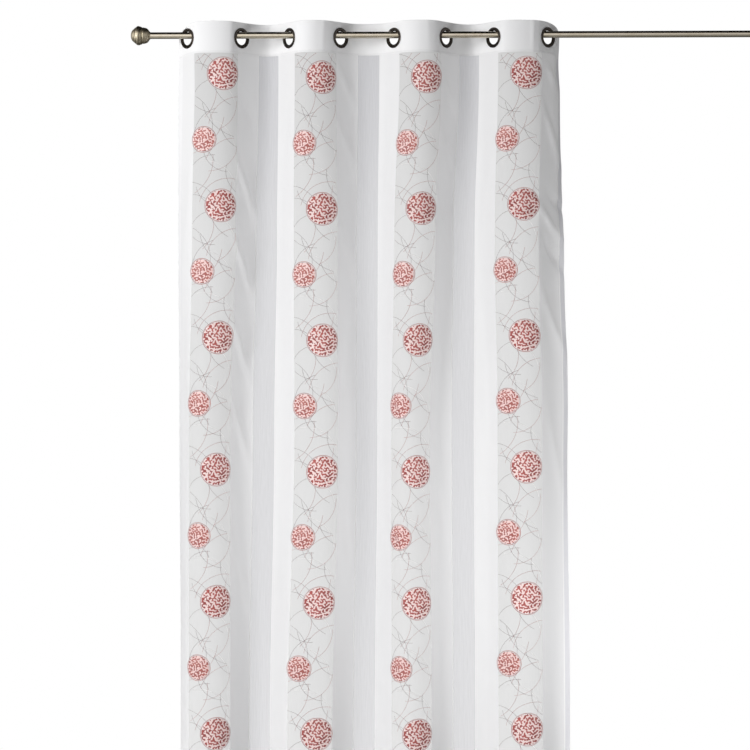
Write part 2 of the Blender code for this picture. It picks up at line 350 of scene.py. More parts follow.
@dataclass(frozen=True)
class Droop:
    """How a top corner hangs: the drop at the edge, how far in it starts, and its curve."""

    drop: float
    reach: float
    power: int

    def at(self, from_edge: Array) -> Array:
        """The drop at distances from the cloth's edge."""
        return self.drop * np.maximum(0.0, 1.0 - from_edge / self.reach) ** self.power


@dataclass(frozen=True)
class Crease:
    """One soft ridge or trough pressed into the cloth, with its middle at (across, height).

    A positive depth comes forward.  Lean is the angle of the ridge from upright, in
    degrees, positive where its top leans to the right.
    """

    across: float
    height: float
    half_run: float
    half_width: float
    depth: float
    lean: float

    def at(self, across: Array, height: Array) -> Array:
        """How far forward the crease lifts the cloth at these places.

        Args:
            across: Distances along the cloth from its left edge.
            height: World heights before the corners droop.

        Returns:
            The lift of each point, in metres.
        """
        lean = math.radians(self.lean)
        da, dh = across - self.across, height - self.height
        run = da * math.sin(lean) + dh * math.cos(lean)
        aside = da * math.cos(lean) - dh * math.sin(lean)
        return self.depth * np.exp(-((run / self.half_run) ** 2) - (aside / self.half_width) ** 2)


# The creases that break the even folds, in the order of Crease's fields:
# long ones that slant across the satin stripes, short ones that crumple the right edge,
# and upright ones that bend the heading.
SATIN_CREASES = (
    Crease(0.250, -0.225, 0.070, 0.013, -0.0060, -26),
    Crease(0.250, -0.455, 0.085, 0.0115, +0.0125, -24),
    Crease(0.242, -0.690, 0.095, 0.0115, +0.0135, -24),
    Crease(0.240, -0.930, 0.090, 0.0115, +0.0125, -24),
    Crease(0.252, -1.190, 0.110, 0.0130, +0.0080, -18),
    Crease(0.256, -1.600, 0.140, 0.015, +0.0060, -14),
    Crease(0.400, -0.300, 0.120, 0.012, -0.0020, 9),
    Crease(0.398, -0.620, 0.160, 0.013, +0.0022, 6),
    Crease(0.622, -0.150, 0.060, 0.012, +0.0060, -30),
    Crease(0.624, -0.330, 0.090, 0.013, +0.0064, -26),
    Crease(0.626, -0.640, 0.120, 0.014, +0.0056, -18),
    Crease(0.620, -1.010, 0.150, 0.014, -0.0026, 8),
    Crease(0.624, -1.480, 0.140, 0.015, +0.0034, -12),
    Crease(0.772, -0.380, 0.130, 0.013, +0.0024, 8),
    Crease(0.770, -1.150, 0.180, 0.015, +0.0022, -5),
    Crease(0.992, -0.170, 0.060, 0.012, +0.0070, -32),
    Crease(0.996, -0.340, 0.075, 0.013, +0.0076, -30),
    Crease(0.994, -0.570, 0.100, 0.013, +0.0064, -24),
    Crease(0.990, -0.900, 0.140, 0.014, -0.0030, -9),
    Crease(0.998, -1.350, 0.150, 0.015, +0.0034, -12),
    Crease(1.142, -0.480, 0.150, 0.013, +0.0024, 8),
    Crease(1.140, -1.250, 0.180, 0.015, +0.0022, -5),
)
EDGE_CREASES = (
    Crease(1.366, -0.125, 0.036, 0.010, +0.0080, -36),
    Crease(1.400, -0.100, 0.070, 0.016, -0.0100, 6),
    Crease(1.362, -0.235, 0.050, 0.010, -0.0036, -30),
    Crease(1.380, -0.320, 0.080, 0.012, +0.0080, -24),
    Crease(1.394, -0.500, 0.046, 0.010, -0.0095, -44),
    Crease(1.424, -0.640, 0.130, 0.030, +0.0090, 0),
    Crease(1.424, -0.960, 0.300, 0.036, +0.0130, 0),
    Crease(1.416, -1.330, 0.300, 0.026, +0.0050, 0),
    Crease(1.366, -0.560, 0.060, 0.011, +0.0120, -42),
    Crease(1.384, -0.660, 0.060, 0.011, -0.0100, -34),
    Crease(1.372, -0.860, 0.110, 0.014, +0.0066, -22),
    Crease(1.376, -1.250, 0.140, 0.014, +0.0036, -12),
    Crease(0.050, -0.500, 0.180, 0.014, +0.0016, 4),
    Crease(0.048, -1.150, 0.220, 0.016, -0.0018, -3),
)
HEADING_CREASES = (
    Crease(0.186, 0.006, 0.060, 0.0050, +0.0012, 2),
    Crease(0.276, 0.004, 0.040, 0.0060, +0.0016, -8),
    Crease(0.330, 0.012, 0.036, 0.0050, -0.0010, 6),
    Crease(0.536, 0.004, 0.060, 0.0060, +0.0018, 3),
    Crease(0.640, 0.010, 0.044, 0.0060, +0.0016, -10),
    Crease(0.700, 0.000, 0.040, 0.0050, -0.0010, 8),
    Crease(0.906, 0.006, 0.050, 0.0055, +0.0014, -3),
    Crease(1.016, 0.006, 0.040, 0.0060, +0.0016, -9),
    Crease(1.072, 0.004, 0.040, 0.0055, -0.0012, 5),
    Crease(1.292, 0.002, 0.070, 0.0055, +0.0024, 1),
    Crease(1.396, -0.030, 0.030, 0.0080, +0.0016, -20),
)
CREASES = SATIN_CREASES + EDGE_CREASES + HEADING_CREASES


@dataclass
class Drape:
    """The hanging cloth as a surface: any place on the cloth gives a place in the room."""

    row_step: float = 0.012
    station_step: float = 0.002
    curve_steps: int = 60
    least_tilt: float = math.radians(45)
    tilt_limits: Pair = (math.radians(1), math.radians(85))
    left_droop: Droop = Droop(drop=0.033, reach=0.090, power=2)
    right_droop: Droop = Droop(drop=0.040, reach=0.106, power=3)
    droop_share_under_heading: float = 0.33
    droop_ends: float = -0.350
    rows: Array = field(init=False)
    table: Array = field(init=False)

    def __post_init__(self) -> None:
        """Work out the fold line of every row, from the hem up to the heading's foot."""
        count = round((HEADING_FOOT - HEM_HEIGHT) / self.row_step)
        self.rows = np.linspace(HEM_HEIGHT, HEADING_FOOT, count + 1)
        stations = np.arange(0.0, PANEL_WIDTH + self.station_step / 2, self.station_step)
        self.table = np.empty((len(self.rows), len(stations), 2))
        for row, line in enumerate(self.fold_lines(self.rows)):
            steps = np.linalg.norm(np.diff(line, axis=0), axis=1)
            along = np.concatenate(([0.0], np.cumsum(steps)))
            along *= PANEL_WIDTH / along[-1]
            for axis in (0, 1):
                self.table[row, :, axis] = np.interp(stations, along, line[:, axis])

    def fold_lines(self, heights: Array) -> Array:
        """The cloth's line seen from above at each height, from its left edge.

        Args:
            heights: The rows' heights.

        Returns:
            Points (row, point, xy).  Between two eyelet threads runs one rounded fold,
            a cubic curve as long as the cloth there.
        """
        threads = CURTAIN_MIDDLE + np.stack([levels.at(heights) for levels in FOLD_THREADS], axis=1)
        share = eased((HEADING_FOOT - heights) / (HEADING_FOOT - LEVEL_HEIGHTS[1]))
        flat = FLAT_AT_EYELET + share * (FLAT_BELOW - FLAT_AT_EYELET)
        tilts = self.thread_tilts(threads, flat, heights)
        # The cloth comes forward through even threads and goes back through odd ones.
        sides = np.where(np.arange(EYELET_COUNT) % 2 == 0, -1.0, 1.0)
        ways = np.stack([np.cos(tilts), np.sin(tilts) * sides], axis=2)
        middles = np.stack([threads, np.zeros_like(threads)], axis=2)
        reach = flat[:, None, None] * ways
        starts, ends = (middles + reach)[:, :-1], (middles - reach)[:, 1:]
        cloth = np.repeat((EYELET_SPACING - 2 * flat)[:, None], EYELET_COUNT - 1, axis=1)
        t = np.linspace(0.0, 1.0, self.curve_steps + 1)[:, None]

        def curves(handles: Array) -> Array:
            """Every fold's curve for these handle lengths.

            Args:
                handles: Lengths of the curves' handles, as (row, fold).

            Returns:
                Points, as (row, fold, point, xy).
            """
            first = starts + handles[..., None] * ways[:, :-1]
            second = ends - handles[..., None] * ways[:, 1:]
            return (
                (1 - t) ** 3 * starts[:, :, None]
                + 3 * (1 - t) ** 2 * t * first[:, :, None]
                + 3 * (1 - t) * t**2 * second[:, :, None]
                + t**3 * ends[:, :, None]
            )

        def lengths(handles: Array) -> Array:
            """How much cloth every fold's curve takes."""
            return np.linalg.norm(np.diff(curves(handles), axis=2), axis=3).sum(axis=2)

        folds = curves(bisected(lengths, cloth, 0.0, EYELET_SPACING)).reshape(len(heights), -1, 2)
        left_end = math.pi - np.radians(LEFT_EDGE_TURN.at(heights))
        right_end = np.radians(RIGHT_EDGE_TURN.at(heights))
        right_cloth = PANEL_WIDTH - EYELET_ACROSS[-1] - flat
        left = self.flap((middles - reach)[:, 0], -ways[:, 0], left_end, EYELET_FROM_EDGE - flat)
        right = self.flap((middles + reach)[:, -1], ways[:, -1], right_end, right_cloth)
        return np.concatenate([left[:, ::-1], folds, right], axis=1)

    def thread_tilts(self, threads: Array, flat: Array, heights: Array) -> Array:
        """Tilt of the cloth at each thread, the mean of what its two folds ask for.

        Args:
            threads: Places of the threads, as (row, thread).
            flat: Half the width of cloth that is flat at each thread, by row.
            heights: World heights of the rows.

        Returns:
            Angles from the rod's direction, as (row, thread).
        """
        fullness = np.diff(threads, axis=1) / EYELET_SPACING
        flat_share = 2 * flat[:, None] / EYELET_SPACING

        def lost(tilt: Array) -> Array:
            """Share of the width that a fold with this tilt takes up."""
            return 1.0 - flat_share * np.cos(tilt) - (1.0 - flat_share) * np.sin(tilt) / tilt

        wanted = bisected(lost, 1.0 - fullness, *self.tilt_limits)
        padded = np.concatenate([wanted[:, :1], wanted, wanted[:, -1:]], axis=1)
        tilts = (padded[:, :-1] + padded[:, 1:]) / 2
        least = self.least_tilt * (1.0 - eased((HEADING_FOOT - heights) / -LEVEL_HEIGHTS[1]))
        return np.maximum(tilts, least[:, None])

    def flap(self, start: Array, way: Array, end_angle: Array, length: Array) -> Array:
        """Lines of an end flap, whose direction turns evenly to the edge's angle.

        Args:
            start: Where the flap starts in each row.
            way: The cloth's direction there.
            end_angle: The direction's angle at the edge.
            length: How much cloth the flap has.

        Returns:
            Points from the flap's start to the edge, by row.
        """
        start_angle = np.arctan2(way[:, 1], way[:, 0])
        share = (np.arange(self.curve_steps) + 0.5) / self.curve_steps
        angles = start_angle[:, None] + share * (end_angle - start_angle)[:, None]
        steps = np.stack([np.cos(angles), np.sin(angles)], axis=2)
        steps *= (length / self.curve_steps)[:, None, None]
        return np.concatenate([start[:, None], start[:, None] + np.cumsum(steps, axis=1)], axis=1)

    def clear_of_eyelets(self, across: Array, height: Array) -> Array:
        """0 under an eyelet's flange, where the cloth is clamped, rising to 1 around it.

        Args:
            across: Distances along the cloth from its left edge.
            height: World heights before the corners droop.

        Returns:
            A share for each point.
        """
        nearest = np.clip(np.rint((across - EYELET_FROM_EDGE) / EYELET_SPACING), 0, EYELET_COUNT - 1)
        centre = EYELET_FROM_EDGE + nearest * EYELET_SPACING
        away = np.hypot(across - centre, height - EYELET_HEIGHT)
        return eased((away - FLAT_AT_EYELET) / (EYELET_BELOW_TOP - FLAT_AT_EYELET))

    def drop(self, across: Array, height: Array) -> Array:
        """How far the cloth has dropped near the two top corners.

        Args:
            across: Distances along the cloth from its left edge.
            height: World heights before the corners droop.

        Returns:
            The drop of each point, in metres.
        """
        corner = self.left_droop.at(across) + self.right_droop.at(PANEL_WIDTH - across)
        in_heading = 1.0 - (1.0 - self.droop_share_under_heading) * (TOP_HEIGHT - height) / HEADING_DEPTH
        below = np.maximum(0.0, (height - self.droop_ends) / (HEADING_FOOT - self.droop_ends))
        share = np.where(height > HEADING_FOOT, in_heading, self.droop_share_under_heading * below)
        return share * corner * self.clear_of_eyelets(across, height)

    def place(self, across: Array, height: Array, forward: Array | float = 0.0) -> Array:
        """Places in the room of points of the cloth.

        Args:
            across: Distances along the cloth from its left edge.
            height: World heights before the corners droop.
            forward: Distances towards the room from the middle of the heading.

        Returns:
            An array (point, xyz).
        """
        last_row, last_station = len(self.rows) - 1, self.table.shape[1] - 1
        inside = 0.000001
        row = np.clip((height - HEM_HEIGHT) / (self.rows[1] - self.rows[0]), 0, last_row - inside)
        station = np.clip(across / self.station_step, 0, last_station - inside)
        r, s = row.astype(int), station.astype(int)
        v, u = (row - r)[:, None], (station - s)[:, None]

        def read(shift: int) -> Array:
            """The fold table shifted by whole stations, read between its rows and stations.

            Args:
                shift: How many stations to the right, or to the left if negative.

            Returns:
                A place (x, y) for each point.
            """
            a, b = (np.clip(s + k, 0, last_station) for k in (shift, shift + 1))
            lower = self.table[r, a] * (1 - u) + self.table[r, b] * u
            upper = self.table[r + 1, a] * (1 - u) + self.table[r + 1, b] * u
            return lower * (1 - v) + upper * v

        way = read(1) - read(-1)
        way /= np.linalg.norm(way, axis=1)[:, None]
        lift = sum(crease.at(across, height) for crease in CREASES)
        lift = forward + lift * self.clear_of_eyelets(across, height)
        flat = read(0) + lift[:, None] * np.stack([way[:, 1], -way[:, 0]], axis=1)
        return np.column_stack([flat, height - self.drop(across, height)])


@dataclass
class ClothPatch:
    """Points (across, height, forward) and faces of a piece that lies on the cloth."""

    points: list[Point] = field(default_factory=list)
    faces: list[Face] = field(default_factory=list)
    edges: list[tuple[int, int]] = field(default_factory=list)

    def add(self, across: float, height: float, forward: float) -> int:
        """Add a point and give its number."""
        self.points.append((across, height, forward))
        return len(self.points) - 1

    def add_grid(
        self, columns: Sequence[float], rows: Sequence[Pair], skip: Iterable[tuple[int, int]] = ()
    ) -> dict[tuple[int, int], int]:
        """Add a grid of cells.

        Args:
            columns: Distances across.
            rows: (height, forward) of each row.
            skip: Cells (row, column) that are left open.

        Returns:
            The points' numbers by (row, column).
        """
        left_out = set(skip)
        number: dict[tuple[int, int], int] = {}
        for row in range(len(rows) - 1):
            for column in range(len(columns) - 1):
                if (row, column) in left_out:
                    continue
                face = []
                for r, c in ((row, column), (row, column + 1), (row + 1, column + 1), (row + 1, column)):
                    if (r, c) not in number:
                        number[r, c] = self.add(columns[c], *rows[r])
                    face.append(number[r, c])
                self.faces.append(tuple(face))
        return number

    def add_line(self, across: Array, height: Array, forward: float) -> None:
        """Add a run of points joined by edges.

        Args:
            across: Distances along the cloth from its left edge.
            height: World heights before the corners droop.
            forward: Distance in front of the middle of the heading.
        """
        first = len(self.points)
        self.points += [(float(a), float(h), forward) for a, h in zip(across, height)]
        self.edges += [(k, k + 1) for k in range(first, len(self.points) - 1)]

    def mesh(self, name: str, drape: Drape, uv: Array | None = None) -> Mesh:
        """Lay the patch on the hanging cloth.

        Args:
            name: The mesh's name.
            drape: The hanging cloth.
            uv: A pattern position for each point; by default it is (across, above the hem).

        Returns:
            The mesh, with a UV map in metres where it has faces.
        """
        across, height, forward = np.array(self.points).T
        mesh = bpy.data.meshes.new(name)
        mesh.from_pydata(drape.place(across, height, forward).tolist(), self.edges, self.faces)
        if self.faces:
            if uv is None:
                uv = np.column_stack([across, height - HEM_HEIGHT])
            corner_points = np.empty(len(mesh.loops), dtype=int)
            mesh.loops.foreach_get("vertex_index", corner_points)
            layer = mesh.uv_layers.new(name=CLOTH_MAP)
            layer.data.foreach_set("uv", uv[corner_points].ravel())
            mesh.shade_smooth()
        return mesh


# --- Finishes of the cloth ----------------------------------------------------
@dataclass(frozen=True)
class StripePlan:
    """The woven stripes, which repeat across the cloth from the first sheer stripe."""

    first: float = 0.072
    embroidered: float = 0.141
    satin: float = 0.081
    crinkled: float = 0.067
    cord: float = 0.0014
    soft_edge: float = 0.0012

    @property
    def repeat(self) -> float:
        """Width of one repeat: two sheer stripes and the two satin ones beside them."""
        return self.embroidered + self.crinkled + 2 * self.satin

    def band(self, nodes: Nodes, along: Socket, middle: float, half: float) -> Socket:
        """A mask that is 1 within half of the middle and falls to 0 over a soft edge."""
        away = nodes.math("ABSOLUTE", nodes.math("SUBTRACT", along, middle))
        return nodes.ranged(away, half - self.soft_edge / 2, half + self.soft_edge / 2, 1.0, 0.0)


STRIPES = StripePlan()


@dataclass(frozen=True)
class VoileFinish:
    """Polyester voile with woven satin stripes, and the stiffened heading's face.

    Fine twisted threads with gaps between them let about a third of the light
    straight through in the sheer stripes; the floats of the satin stripes close
    them and give a soft sheen.
    """

    name: str = "polyester_voile_with_satin_stripes"
    sheer: str = "#EBEBEB"
    crinkled: str = "#E6E6EA"
    satin: str = "#F6F6F7"
    # The cord's white is partly its own colour and partly a painted highlight of the light its ridge
    # catches.
    cord: str = "#FFFFFF"
    heading: str = "#F8F8F9"
    # Painted shade: a slightly darker band just above the heading's foot stands in for the shade of the fold
    # there.
    painted_foot_shade: str = "#F2F2F3"
    sheer_cover: float = 0.66
    crinkled_cover: float = 0.68
    uneven_cover: float = 0.03
    # Painted shade: extra cover darkens the sheer stripes' top third, and less cover lightens them towards
    # the hem.
    top_shade_cover: float = 0.20
    top_shade_reach: Pair = (1.65, 2.30)
    hem_cover: float = -0.08
    hem_reach: Pair = (0.2, 1.3)
    satin_cover: float = 0.95
    cord_cover: float = 0.97
    heading_cover: float = 0.995
    sheer_glow: float = 0.52
    satin_glow: float = 0.20
    heading_glow: float = 0.05
    satin_roughness: float = 0.46
    sheer_roughness: float = 0.78
    crinkled_roughness: float = 0.82
    heading_roughness: float = 0.66
    streak_width: float = 0.0040
    streak_length: float = 0.070
    thread_pitch: float = 0.0016
    thread_height: float = 0.00004
    streak_height: float = 0.0002
    crinkle_height: float = 0.0008
    cord_height: float = 0.00022
    painted_foot_shade_half: float = 0.0030

    def build(self) -> Material:
        """Build the material, which reads the cloth's own map.

        Returns:
            The material.
        """
        made, nodes = new_finish(self.name)
        uv = nodes.out("ShaderNodeUVMap", uv_map=CLOTH_MAP)
        across, height, _ = nodes.add("ShaderNodeSeparateXYZ", {0: uv}).outputs
        phase = nodes.math("FLOORED_MODULO", nodes.math("SUBTRACT", across, STRIPES.first), STRIPES.repeat)
        second = STRIPES.embroidered + STRIPES.satin
        foot = PANEL_LENGTH - HEADING_DEPTH
        sheer = STRIPES.band(nodes, phase, STRIPES.embroidered / 2, STRIPES.embroidered / 2)
        crinkled = STRIPES.band(nodes, phase, second + STRIPES.crinkled / 2, STRIPES.crinkled / 2)
        cord = STRIPES.band(nodes, phase, second, STRIPES.cord)
        heading = STRIPES.band(nodes, height, PANEL_LENGTH, HEADING_DEPTH)
        side_hem = nodes.math("ADD", *(STRIPES.band(nodes, across, x, SIDE_HEM) for x in (0.0, PANEL_WIDTH)))
        # Mask of the painted shade along the heading's foot.
        painted_foot_shade = STRIPES.band(nodes, height, foot + self.painted_foot_shade_half, self.painted_foot_shade_half)

        scale = (1 / self.streak_width, 1 / self.streak_length, 1.0)
        streaks = nodes.noise(nodes.scaled(uv, scale), 1.0, 2.0)
        swing = nodes.ranged(streaks, *NOISE_SPAN, -self.uneven_cover, self.uneven_cover)
        uneven = nodes.layered(0.0, (crinkled, swing))
        # Painted shade: extra cover by height darkens the sheer stripes near the top.
        painted_height_shade = self.painted_height_shade(nodes, height)
        plain = nodes.math("ADD", painted_height_shade, self.sheer_cover)
        ribbed = nodes.math("ADD", painted_height_shade, self.crinkled_cover)
        cover = nodes.layered(self.satin_cover, (sheer, plain), (crinkled, ribbed))
        cover = nodes.layered(nodes.math("ADD", cover, uneven), (cord, self.cord_cover))
        cover = nodes.layered(cover, (side_hem, self.heading_cover), (heading, self.heading_cover))
        # The cord's white colour is partly a painted highlight along its ridge.
        colour = nodes.painted(self.satin, (sheer, self.sheer), (crinkled, self.crinkled), (cord, self.cord))
        colour = nodes.painted(colour, (heading, self.heading), (painted_foot_shade, self.painted_foot_shade))
        glow = nodes.layered(self.satin_glow, (sheer, self.sheer_glow), (crinkled, self.sheer_glow))
        glow = nodes.layered(glow, (side_hem, self.heading_glow), (heading, self.heading_glow))
        rough = nodes.layered(self.satin_roughness, (sheer, self.sheer_roughness))
        rough = nodes.layered(rough, (crinkled, self.crinkled_roughness), (heading, self.heading_roughness))

        relief = self.relief(nodes, uv, streaks, crinkled, cord, heading)
        looks = {"Base Color": colour, "Roughness": rough, "Normal": relief, "IOR": 1.5}
        looks |= {"Specular IOR Level": 0.35, "Sheen Weight": 0.15, "Sheen Roughness": 0.5}
        front = nodes.out("ShaderNodeBsdfPrincipled", looks)
        behind = nodes.out("ShaderNodeBsdfTranslucent", {"Color": colour, "Normal": relief})
        threads = nodes.out("ShaderNodeMixShader", {0: glow, 1: front, 2: behind})
        gaps = nodes.out("ShaderNodeBsdfTransparent")
        nodes.surface(nodes.out("ShaderNodeMixShader", {0: cover, 1: gaps, 2: threads}))
        return made

    def painted_height_shade(self, nodes: Nodes, height: Socket) -> Socket:
        """Painted shade on the sheer stripes: extra cover that darkens their top third.

        Less cover towards the hem lets more of the white behind show, so they look lighter there.

        Args:
            nodes: The material's nodes.
            height: Height above the hem.

        Returns:
            The extra cover, which paints the shade.
        """
        smooth = {"interpolation_type": "SMOOTHSTEP"}
        top = nodes.ranged(height, *self.top_shade_reach, 0.0, self.top_shade_cover, **smooth)
        return nodes.math("ADD", top, nodes.ranged(height, *self.hem_reach, self.hem_cover, 0.0))

    def relief(
        self, nodes: Nodes, uv: Socket, streaks: Socket, crinkled: Socket, cord: Socket, heading: Socket
    ) -> Socket:
        """Bump of the crinkles, the cord between stripes and the weave; the heading lies flat.

        The real threads lie about 0.4 mm apart, too fine to show, so the weave is
        drawn four times as coarse.

        Args:
            nodes: The material's nodes.
            uv: The cloth's own map.
            streaks: The crinkles' height.
            crinkled: A mask of the crinkled stripes.
            cord: A mask of the cord.
            heading: A mask of the heading.

        Returns:
            The bumped normal.
        """
        turns = 2 * math.pi / self.thread_pitch
        warp, weft, _ = nodes.add("ShaderNodeSeparateXYZ", {0: nodes.scaled(uv, (turns, turns, 0))}).outputs
        weave = nodes.math("MULTIPLY", nodes.math("SINE", warp), nodes.math("SINE", weft))
        fine = nodes.math("MULTIPLY", weave, self.thread_height)
        amount = nodes.layered(self.streak_height, (crinkled, self.crinkle_height))
        both = nodes.math("ADD", fine, nodes.math("MULTIPLY", streaks, amount))
        total = nodes.math("MULTIPLY_ADD", cord, self.cord_height, both)
        return nodes.bump(nodes.math("MULTIPLY", total, nodes.layered(1.0, (heading, 0.0))), 1.0)


@dataclass(frozen=True)
class StiffenedClothFinish:
    """The heading's back and the turned hems: doubled matt polyester cloth, nearly opaque."""

    name: str = "doubled_polyester_cloth"
    colour: str = "#EEEEEF"
    shade: str = "#E6E6E8"
    thread_pitch: float = 0.0016
    relief: float = 0.0001

    def build(self) -> Material:
        """Build the material, with a faint even weave.

        Returns:
            The material.
        """
        made, nodes = new_finish(self.name)
        uv = nodes.out("ShaderNodeUVMap", uv_map=CLOTH_MAP)
        weave = nodes.noise(nodes.scaled(uv, (1 / self.thread_pitch, 1 / self.thread_pitch, 1.0)), 1.0, 2.0)
        looks = {"Base Color": nodes.painted(self.shade, (weave, self.colour)), "Roughness": 0.7}
        looks |= {"Normal": nodes.bump(weave, self.relief), "Sheen Weight": 0.15}
        nodes.principled(looks | {"Specular IOR Level": 0.3})
        return made


@dataclass(frozen=True)
class CoralFillFinish:
    """A disc's fill: coral rayon thread in short wandering runs over a pale ground."""

    name: str
    thread: str
    deep: str
    ground: str
    run_pitch: float = 0.0098
    run_length: float = 0.0112
    drift: float = 0.022
    stitch_pitch: float = 0.0009
    tone_scale: float = 26.0
    tone_span: Pair = (0.38, 0.62)
    cut: Pair = (0.585, 0.455)
    cut_softness: float = 0.050
    fill_height: float = 3.0
    relief: float = 0.00012

    def build(self) -> Material:
        """Build the material, which reads the disc's own map in metres.

        Returns:
            The material.
        """
        made, nodes = new_finish(self.name)
        uv = nodes.out("ShaderNodeUVMap", uv_map=CLOTH_MAP)
        stitched = self.runs(nodes, uv)
        tone = nodes.ranged(nodes.noise(uv, self.tone_scale, 1.0), *self.tone_span)
        thread = nodes.painted(self.thread, (tone, self.deep))
        single = nodes.noise(uv, 1 / self.stitch_pitch, 0.0)
        high = nodes.math("MULTIPLY_ADD", stitched, self.fill_height, single)
        looks = {"Base Color": nodes.painted(self.ground, (stitched, thread)), "Roughness": 0.5}
        looks |= {"Normal": nodes.bump(high, self.relief), "Sheen Weight": 0.2}
        nodes.principled(looks | {"Specular IOR Level": 0.4})
        return made

    def runs(self, nodes: Nodes, uv: Socket) -> Socket:
        """A mask of the stitched runs: short waves in every direction, cut near their middle.

        The cut wanders, so the runs are thick and joined in some places, thin and
        broken in others.

        Args:
            nodes: The material's nodes.
            uv: The disc's own map.

        Returns:
            The mask, 1 in a run.
        """
        given = {"Vector": uv, "Scale": 1 / self.run_length, "Frequency": self.run_length / self.run_pitch}
        waves = nodes.add("ShaderNodeTexGabor", given | {"Anisotropy": 0.0}).outputs["Value"]
        high = nodes.ranged(nodes.noise(uv, 1 / self.drift, 1.0), *NOISE_SPAN, *self.cut)
        return nodes.ranged(waves, high, nodes.math("SUBTRACT", high, self.cut_softness))


@dataclass(frozen=True)
class ThreadFinish:
    """Sewing thread: two fine plies with a soft gloss."""

    name: str
    colour: str
    roughness: float = 0.45
    tone_scale: float = 90.0
    tones: Pair = (0.86, 1.08)

    def build(self) -> Material:
        """Build the material, a little uneven along the thread.

        Returns:
            The material.
        """
        made, nodes = new_finish(self.name)
        place = nodes.add("ShaderNodeTexCoord").outputs["Object"]
        tone = nodes.ranged(nodes.noise(place, self.tone_scale, 1.0), *NOISE_SPAN, *self.tones)
        given = {0: linear(self.colour)[:3], "Scale": tone}
        colour = nodes.out("ShaderNodeVectorMath", given, operation="SCALE")
        nodes.principled({"Base Color": colour, "Roughness": self.roughness, "Sheen Weight": 0.2})
        return made


# --- Finishes of the metal ----------------------------------------------------
@dataclass(frozen=True)
class PlatedMetalFinish:
    """Plated steel, polished or brushed, with a darker patina left in its hollows."""

    name: str
    colour: str
    worn: str
    patina: str
    roughness: float
    brushed: float = 0.0
    marks_scale: Point = (30.0, 1600.0, 1600.0)
    wear_scale: float = 60.0
    wear_span: Pair = (0.40, 0.70)
    patina_depths: Pair = (0.10, 0.50)
    swing: float = 0.04

    def build(self) -> Material:
        """Build the material.  Its marks run along X in object space, about 0.6 mm wide.

        Returns:
            The material.
        """
        made, nodes = new_finish(self.name)
        place = nodes.add("ShaderNodeTexCoord").outputs["Object"]
        marks = nodes.noise(nodes.scaled(place, self.marks_scale), 1.0, 2.0)
        wear = nodes.ranged(nodes.noise(place, self.wear_scale, 2.0), *self.wear_span)
        hollow = nodes.add("ShaderNodeAttribute", attribute_name=HOLLOW).outputs["Fac"]
        dark = nodes.ranged(hollow, *self.patina_depths)
        low, high = self.roughness - self.swing, self.roughness + self.swing
        looks = {
            "Base Color": nodes.painted(self.colour, (wear, self.worn), (dark, self.patina)),
            "Metallic": 1.0,
            "Roughness": nodes.ranged(marks, *NOISE_SPAN, low, high),
            "Normal": nodes.bump(marks, self.brushed),
        }
        nodes.principled(looks)
        return made


# --- Stitches -----------------------------------------------------------------
@dataclass(frozen=True)
class Stitch:
    """Sizes of a stitch: from one to the next, its length, and the thread's width."""

    pitch: float
    length: float
    thickness: float


SEAM_STITCH = Stitch(pitch=0.0030, length=0.0026, thickness=0.0005)
EDGE_STITCH = Stitch(pitch=0.0024, length=0.0033, thickness=0.0019)
ARC_STITCH = Stitch(pitch=0.0034, length=0.0042, thickness=0.0010)


class StitchTree:
    """Geometry nodes that lay thread stitches end to end along the edges of a mesh."""

    def __init__(self) -> None:
        """Build the tree with named inputs for a stitch's sizes."""
        self.tree = bpy.data.node_groups.new("stitches along a line", "GeometryNodeTree")
        numbers = [(name, "Float") for name in ("Pitch", "Length", "Thickness")]
        for name, kind in [("Lines", "Geometry"), *numbers, ("Thread", "Material")]:
            self.tree.interface.new_socket(name, in_out="INPUT", socket_type=f"NodeSocket{kind}")
        self.tree.interface.new_socket("Stitches", in_out="OUTPUT", socket_type="NodeSocketGeometry")
        nodes = Nodes(self.tree)
        given = nodes.add("NodeGroupInput").outputs
        curve = nodes.out("GeometryNodeMeshToCurve", {0: given["Lines"]})
        walk = {"Curve": curve, "Length": given["Pitch"]}
        spots = nodes.add("GeometryNodeCurveToPoints", walk, mode="LENGTH").outputs
        bead = nodes.add("GeometryNodeMeshUVSphere", {"Segments": 4, "Rings": 3, "Radius": 0.5})
        width = given["Thickness"]
        size = nodes.out("ShaderNodeCombineXYZ", {0: width, 1: width, 2: given["Length"]})
        laid = {"Points": spots["Points"], "Instance": bead.outputs["Mesh"]}
        laid |= {"Rotation": spots["Rotation"], "Scale": size}
        stitches = nodes.out("GeometryNodeInstanceOnPoints", laid)
        real = nodes.out("GeometryNodeRealizeInstances", {0: stitches})
        soft = nodes.out("GeometryNodeSetShadeSmooth", {0: real})
        dyed = nodes.out("GeometryNodeSetMaterial", {"Geometry": soft, "Material": given["Thread"]})
        nodes.add("NodeGroupOutput", {0: dyed})

    def sew(self, name: str, lines: Mesh, thread: Material, stitch: Stitch) -> Piece:
        """Sew along every edge of a mesh.

        Args:
            name: The new piece's name.
            lines: A mesh of edges, which the stitches follow.
            thread: The thread's material.
            stitch: The stitch's sizes.

        Returns:
            The stitches as one plain mesh object, with no modifier left on it.
        """
        values = {"Pitch": stitch.pitch, "Length": stitch.length, "Thickness": stitch.thickness}
        values["Thread"] = thread
        made = new_object(name, lines, None)
        modifier = made.modifiers.new(name, "NODES")
        modifier.node_group = self.tree
        for item in self.tree.interface.items_tree:
            if item.in_out == "INPUT" and item.name in values:
                modifier[item.identifier] = values[item.name]
        evaluated = made.evaluated_get(bpy.context.evaluated_depsgraph_get())
        result = bpy.data.meshes.new_from_object(evaluated)
        result.name = name
        made.modifiers.remove(modifier)
        made.data = result
        return made


